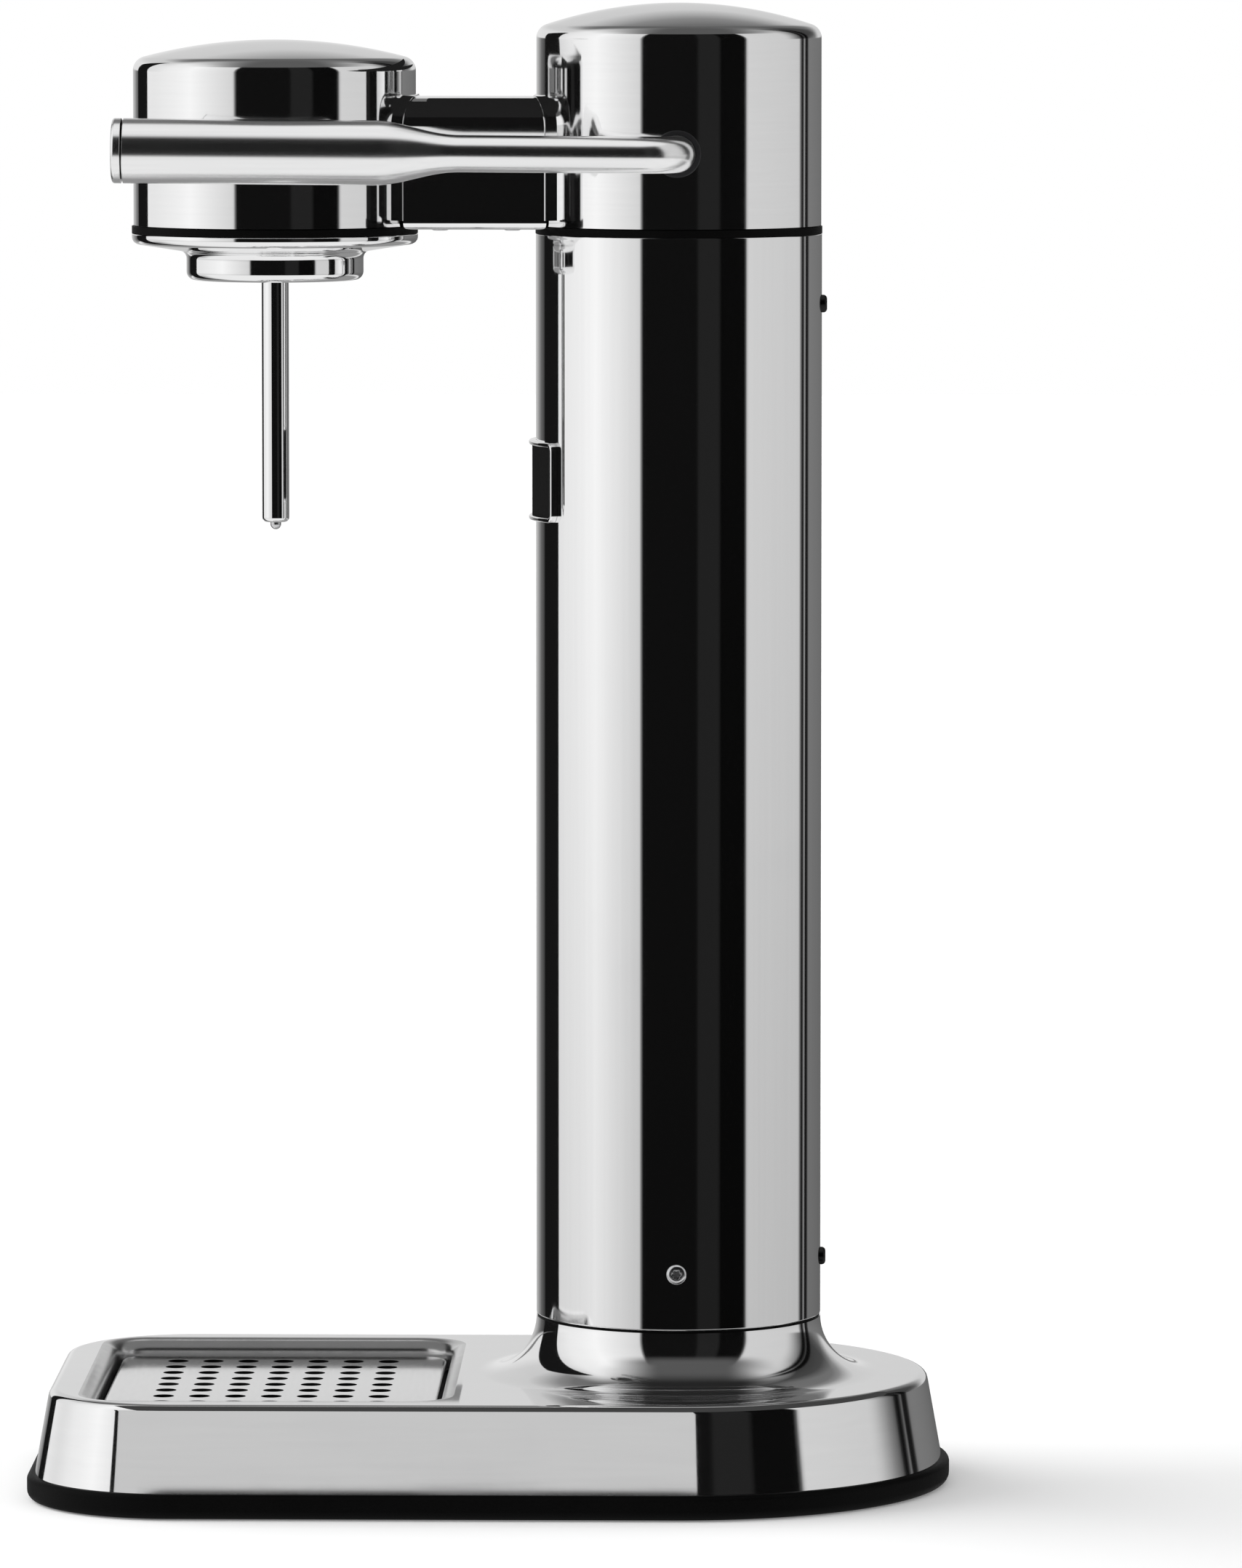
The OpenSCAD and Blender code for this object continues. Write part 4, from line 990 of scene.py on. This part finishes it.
# %% Dark field of the badge
FIELD_SLACK = 0.05
field_r = seat_r + badge_t - BADGE_DEPTH + FIELD_SLACK
badge.data.materials.append(finish_field)
axis = Vector((0, column_y * MM))
for face in badge.data.polygons:
    corners = [badge.data.vertices[i].co.xy for i in face.vertices]
    face.material_index = int(max((corner - axis).length for corner in corners) < field_r * MM)
print("field faces:", sum(face.material_index for face in badge.data.polygons))

# %% [markdown]
# ## Springs
# Two springs work out of sight: one lifts the valve's plunger, and one holds the relief valve shut.
# Each is one wire wound as a helix, made by carrying a ring of points along the coil. Each spring
# rides on the piece that it pushes.

# %% Springs
COIL_STEPS = 32
WIRE_STEPS = 12
joint_travel = {name: joint["range_m"][1] / MM for name, joint in joints.items() if joint["type"] == "slide"}


def spring(name, node, body, joint, wire_r, turns):
    """A coil in the CAD spring's box."""
    low, high = box_mm(node)
    mid = (low + high) / 2
    coil_r = (high.x - low.x) / 2 - wire_r
    climb = high.z - low.z - 2 * wire_r
    bm = bmesh.new()
    rings = []
    for i in range(turns * COIL_STEPS + 1):
        a = 2 * pi * i / COIL_STEPS
        rise = low.z + wire_r + climb * i / (turns * COIL_STEPS)
        section = arc((coil_r, rise), wire_r, 0, 360 - 360 / WIRE_STEPS, WIRE_STEPS - 1)
        rings.append(loop(bm, [(mid.x + r * cos(a), mid.y + r * sin(a), z) for r, z in section]))
    skin(bm, rings)
    bm.faces.new(rings[0])
    bm.faces.new(rings[-1])
    piece = place(name, bm, body, finish_screw, "steel_fittings", [node])
    1 - joint_travel[joint] / (high.z - low.z)
    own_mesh(piece)


spring("plunger_return_spring", "plunger_spring", "plunger", "plunger_press",
       wire_r=0.4, turns=5)
spring("relief_valve_spring", "relief_spring", "relief", "relief_lift",
       wire_r=0.3, turns=7)

# %% [markdown]
# ## What keeps its CAD shape
# Gaskets, the floor plate and the other pieces inside are right as they are. Each shown node gets
# the finish of its slot in the record.

# %% Finish the CAD nodes
slots = {part["node"]: part["material_slot"] for part in frame["record"]["subparts"]}
kept = [name for name, node in frame["nodes"].items() if not node.hide_render]
for name in kept:
    for place_in in frame["nodes"][name].material_slots:
        place_in.material = SLOT_FINISH[slots[name]]
print("CAD nodes kept:", len(kept))

# %% [markdown]
# ## Studio
# Polished metal shows the room, so the room is the paint. The photographer stood in a white studio
# with black flags: one wide flag by the camera, narrow ones to the side and behind. The world
# holds that room for reflections. Its flags go by compass angle, and the wall behind the machine
# gets darker upwards, along a slant, with a shade of its own by compass angle. For the camera the
# world is plain white, and for matt surfaces it is an even soft light.

# %% World
FLAGS = [(-180, 0.75), (-160, 0.45), (-148, 0.15), (-137, 0.03), (-135, 0.85), (-112, 0.85), (-85, 0.93),
         (-70, 1.0), (-55, 0.88), (-31, 0.7), (-29, 0.005), (15, 0.005), (17, 0.016), (33, 0.016),
         (35, 0.003), (56, 0.003), (58, 0.67), (115, 0.62), (117, 0.2), (119, 0.01), (122, 0.01),
         (123, 0.35), (124, 0.35), (125, 0.01), (129, 0.01), (131, 0.2), (180, 0.14)]
FLAG_LOW, FLAG_HIGH = radians(-16), radians(54)
LOW_BLUR, HIGH_BLUR = 0.03, 0.1
FLAG_FALL = 0.84, 1.02
FALL_FROM, FALL_TO = radians(-9), radians(-2)
BACK_WALL = [(0, 0.8), (9, 0.66), (20, 0.63), (25.5, 0.46), (31, 0.26), (37, 0.17), (62, 0.15), (70, 1.0)]
WALL_SLANT = 0.61
BACK_SHADE = [(96, 1.0), (104, 0.55), (116.5, 0.45), (118.5, 0.02), (122, 0.02), (123, 0.3), (124, 0.3),
              (125, 0.02), (129, 0.02), (131, 0.3), (145, 0.4), (156, 1.0)]
REAR = -0.5, -0.1
HORIZON = -0.02, 0.03
UNDER_BLUR = 0.15
UNDER = 0.3
ROOM_WHITE = 0.9
FILL = 0.68


def greys(at, stops, span, zero=0.0):
    """Grey levels along a wire that runs from 0 to 1 over a span of degrees, with 0 degrees at zero."""
    places = [(degrees / span + zero, level) for degrees, level in stops]
    return at.node("ValToRGB", {"stops": places}, {"Fac": at})


world = bpy.data.worlds.new("studio")
world.use_nodes = True
scene.world = world
wire = Wire(world.node_tree)
ray = wire.node("TexCoord", out="Generated")
x, y, z = [wire.node("SeparateXYZ", None, {0: ray}, out=axis) for axis in "XYZ"]
compass = wire.sum("ARCTAN2", y, x) * (1 / (2 * pi)) + 0.5
height = wire.sum("ARCSINE", z)
over_low = height.ease(FLAG_LOW - LOW_BLUR, FLAG_LOW + LOW_BLUR)
band = over_low * height.ease(FLAG_HIGH - HIGH_BLUR, FLAG_HIGH + HIGH_BLUR, 1.0, 0.0)
flags = greys(compass, FLAGS, 360, 0.5) * height.ease(FALL_FROM, FALL_TO, *FLAG_FALL)
front = band * flags + (1.0 - band) * ROOM_WHITE
wall = greys((height + y * WALL_SLANT) * (2 / pi), BACK_WALL, 90) * greys(compass, BACK_SHADE, 360, 0.5)
rear = x.ease(*REAR, 1.0, 0.0)
behind = rear * height.ease(*HORIZON)
under = rear * height.ease(FLAG_LOW - UNDER_BLUR, FLAG_LOW, 1.0, 0.0)
room = behind * wall + under * UNDER + (1.0 - behind - under) * front
seen = wire.node("LightPath", out="Is Camera Ray")
shiny = wire.node("LightPath", out="Is Glossy Ray")
light = seen + shiny * room + (1.0 - seen - shiny) * FILL
back = world.node_tree.nodes["Background"]
world.node_tree.links.new(light.socket, back.inputs["Strength"])
back.inputs["Color"].default_value = (1, 1, 1, 1)
print("studio flags:", len(FLAGS))

# %% [markdown]
# Small cards stand close to the machine, as a photographer places them. They work on reflections
# only, and the level ones only from below.

# %% A card
def card(name, loops, level, two_sided=False, fade=None):
    """A card that shows in reflections only, from below or from both sides.

    One loop of points in millimetres makes one face, and two make a ring; level is how bright it is.
    """
    bm = bmesh.new()
    made = [loop(bm, [Vector(p) * MM for p in points]) for points in loops]
    if len(made) == 1:
        bm.faces.new(made[0])
    skin(bm, made)
    mesh = bpy.data.meshes.new(name)
    bm.to_mesh(mesh)
    bm.free()
    material, wire, at, shader = new_finish(name)
    seen = 1.0 if two_sided else wire.node("NewGeometry", out="Backfacing")
    feed(wire, shader, Base_Color=(0, 0, 0, 1), Specular_IOR_Level=0.0, Emission_Color=(1, 1, 1, 1),
         Emission_Strength=level, Alpha=seen * fade(at) if fade else seen)
    mesh.materials.append(material)
    board = bpy.data.objects.new(name, mesh)
    board.visible_camera = board.visible_diffuse = board.visible_transmission = board.visible_shadow = False
    scene.collection.objects.link(board)


def flat_card(name, outline, z, level):
    """A card that lies flat at height z, seen from below."""
    card(name, [[(x, y, z) for x, y in outline]], level)


print("card tools ready")

# %% [markdown]
# Over the table beside the base hang a grey card, which the skirt shows, a thin black one at its
# front end, and a dark strip that draws the line along the top's edge. One more hangs over the
# well's far rim.

# %% Cards at the base
CARD_Z = 45
CARD_NEAR, CARD_FAR = 90, 260
GREY_FRONT = -132.7, -318.2
GREY_BACK = 60.4, 88
LINE_FRONT = -137.7, -351.4
WELL_RISE = 14
WELL_OUT, WELL_IN, WELL_LAP = 6, 26, 4
EDGE_IN = 64
EDGE_START = 18
EDGE_ROUND = 75


def beside_base(front, back):
    """Corners beside the base; front and back give each end's Y, near the base and far from it."""
    return [(CARD_NEAR, front[0]), (CARD_FAR, front[1]), (CARD_FAR, back[1]), (CARD_NEAR, back[0])]


def edge_path(reach):
    """A line beside the top's edge, from the front corner to far round the back."""
    return [(reach, base_front + EDGE_START)] + arc((0, column_y), reach, 0, EDGE_ROUND)


flat_card("card_grey", beside_base(GREY_FRONT, GREY_BACK), CARD_Z, 0.61)
flat_card("card_line", beside_base(LINE_FRONT, GREY_FRONT), CARD_Z, 0.006)
far_rim = -plate_high.x - WELL_GAP
well_x0, well_x1 = far_rim - WELL_OUT, far_rim + WELL_IN
well_y0, well_y1 = plate_low.y - WELL_LAP, plate_high.y + WELL_LAP
well_card = [(well_x0, well_y0), (well_x1, well_y0), (well_x1, well_y1), (well_x0, well_y1)]
flat_card("card_well", well_card, base_h + WELL_RISE, 0.22)
flat_card("card_edge", edge_path(CARD_NEAR) + edge_path(EDGE_IN)[::-1], CARD_Z, 0.055)
print("base cards in place")

# %% [markdown]
# A black card hangs over the arm, cut back where the head would show it. A tall black one stands on
# the far side.

# %% Black cards
ARM_RISE = 47
ARM_LAP = 3
ARM_LEFT, ARM_CUT, ARM_RIGHT = -14, 8, 40
SIDE_NEAR, SIDE_FAR = (-109, -284), (-540, -480)
SIDE_LOW, SIDE_HIGH = -60, 600
arm_y0, arm_y1 = head_y + head_r, column_y - cap_r + ARM_LAP
arm_card = [(ARM_LEFT, arm_y0 + ARM_LAP), (ARM_CUT, arm_y0 + ARM_LAP), (ARM_CUT, arm_y0 - ARM_LAP),
            (ARM_RIGHT, arm_y0 - ARM_LAP), (ARM_RIGHT, arm_y1), (ARM_LEFT, arm_y1)]
flat_card("card_arm", arm_card, cap_z + ARM_RISE, 0.014)
side_card = [(*SIDE_NEAR, SIDE_LOW), (*SIDE_FAR, SIDE_LOW), (*SIDE_FAR, SIDE_HIGH), (*SIDE_NEAR, SIDE_HIGH)]
card("card_side", [side_card], 0.008, two_sided=True)
print("black cards in place")

# %% [markdown]
# Ring cards float over the flare and over each dome's shoulder. They fade at their inner and outer
# rims, and away from the lever's side, so that a round surface shows a soft dark patch there.

# %% Ring cards
DARK_SIDE = 8.0
RING_STEPS = 96
DOME_RING = -18, -4, 9.5, 11
DOME_RISE = 3
FLARE_START = 0.1


def ring_card(name, mid_y, radii, z, level, reach):
    """A level ring about an upright axis that fades in over the first two radii and out over the last two.

    It is darkest on the lever's side and fades from there over the two distances in reach.
    """
    start, full, fading, end = [r * MM for r in radii]

    def distance(at, x, y):
        return at.node("VectorMath", {"operation": "DISTANCE"}, {0: at, 1: (x, y, z * MM)}, out="Value")

    def fade(at):
        away = distance(at, 0, mid_y * MM)
        side = distance(at, fading, (mid_y + DARK_SIDE) * MM).ease(reach[0] * MM, reach[1] * MM, 1.0, 0.0)
        return away.ease(start, full) * away.ease(fading, end, 1.0, 0.0) * side

    angles = [2 * pi * i / RING_STEPS for i in range(RING_STEPS)]
    loops = [[(r * cos(a), mid_y + r * sin(a), z) for a in angles] for r in (radii[3], radii[0])]
    card(name, loops, level, fade=fade)


cap_ring = [cap_r + step for step in DOME_RING]
head_ring = [head_r + step for step in DOME_RING]
flare_ring = [column_r, column_r + FLARE_START]
ring_card("card_flare", column_y, flare_ring + [55, 61], 55, 0.1, (16, 48))
ring_card("card_neck", column_y, flare_ring + [43, 50], 54, 0.02, (16, 46))
ring_card("card_cap", column_y, cap_ring, housing_high.z + DOME_RISE, 0.1, (14, 52))
ring_card("card_head", head_y, head_ring, cap_z + HEAD_H + DOME_RISE, 0.11, (14, 48))
print("ring cards in place")

# %% [markdown]
# The floor is pale paper. It only has to show the soft shadow that the lamp from the left throws
# to the right, and it is lifted to white for the camera so that no horizon shows.

# %% Floor and lamp
FLOOR_HALF = 6
FLOOR_DROP = 0.0002
PAPER_LIFT = 0.17
LAMP_ENERGY = 2.3
LAMP_ANGLE = radians(50)
LAMP_AT = Vector((-0.25, -1.2, 1.0))

bm = bmesh.new()
bmesh.ops.create_grid(bm, x_segments=1, y_segments=1, size=FLOOR_HALF)
paper_mesh = bpy.data.meshes.new("paper_floor")
bm.to_mesh(paper_mesh)
bm.free()
floor = bpy.data.objects.new("paper_floor", paper_mesh)
floor.location.z = -FLOOR_DROP
floor.visible_glossy = False
scene.collection.objects.link(floor)
paper, wire, at, shader = new_finish("paper")
feed(wire, shader, Base_Color=at.noise(3.0).tint(grey(0.78), grey(0.8)), Roughness=0.9,
     Specular_IOR_Level=0.0, Emission_Color=(1, 1, 1, 1),
     Emission_Strength=wire.node("LightPath", out="Is Camera Ray") * PAPER_LIFT)
paper_mesh.materials.append(paper)

lamp_data = bpy.data.lights.new("soft_lamp", "SUN")
lamp_data.energy = LAMP_ENERGY
lamp_data.angle = LAMP_ANGLE
lamp = bpy.data.objects.new("soft_lamp", lamp_data)
lamp.location = LAMP_AT
lamp.rotation_euler = (-LAMP_AT).to_track_quat("-Z", "Y").to_euler()
lamp.visible_glossy = False
scene.collection.objects.link(lamp)
print("floor and lamp ready")
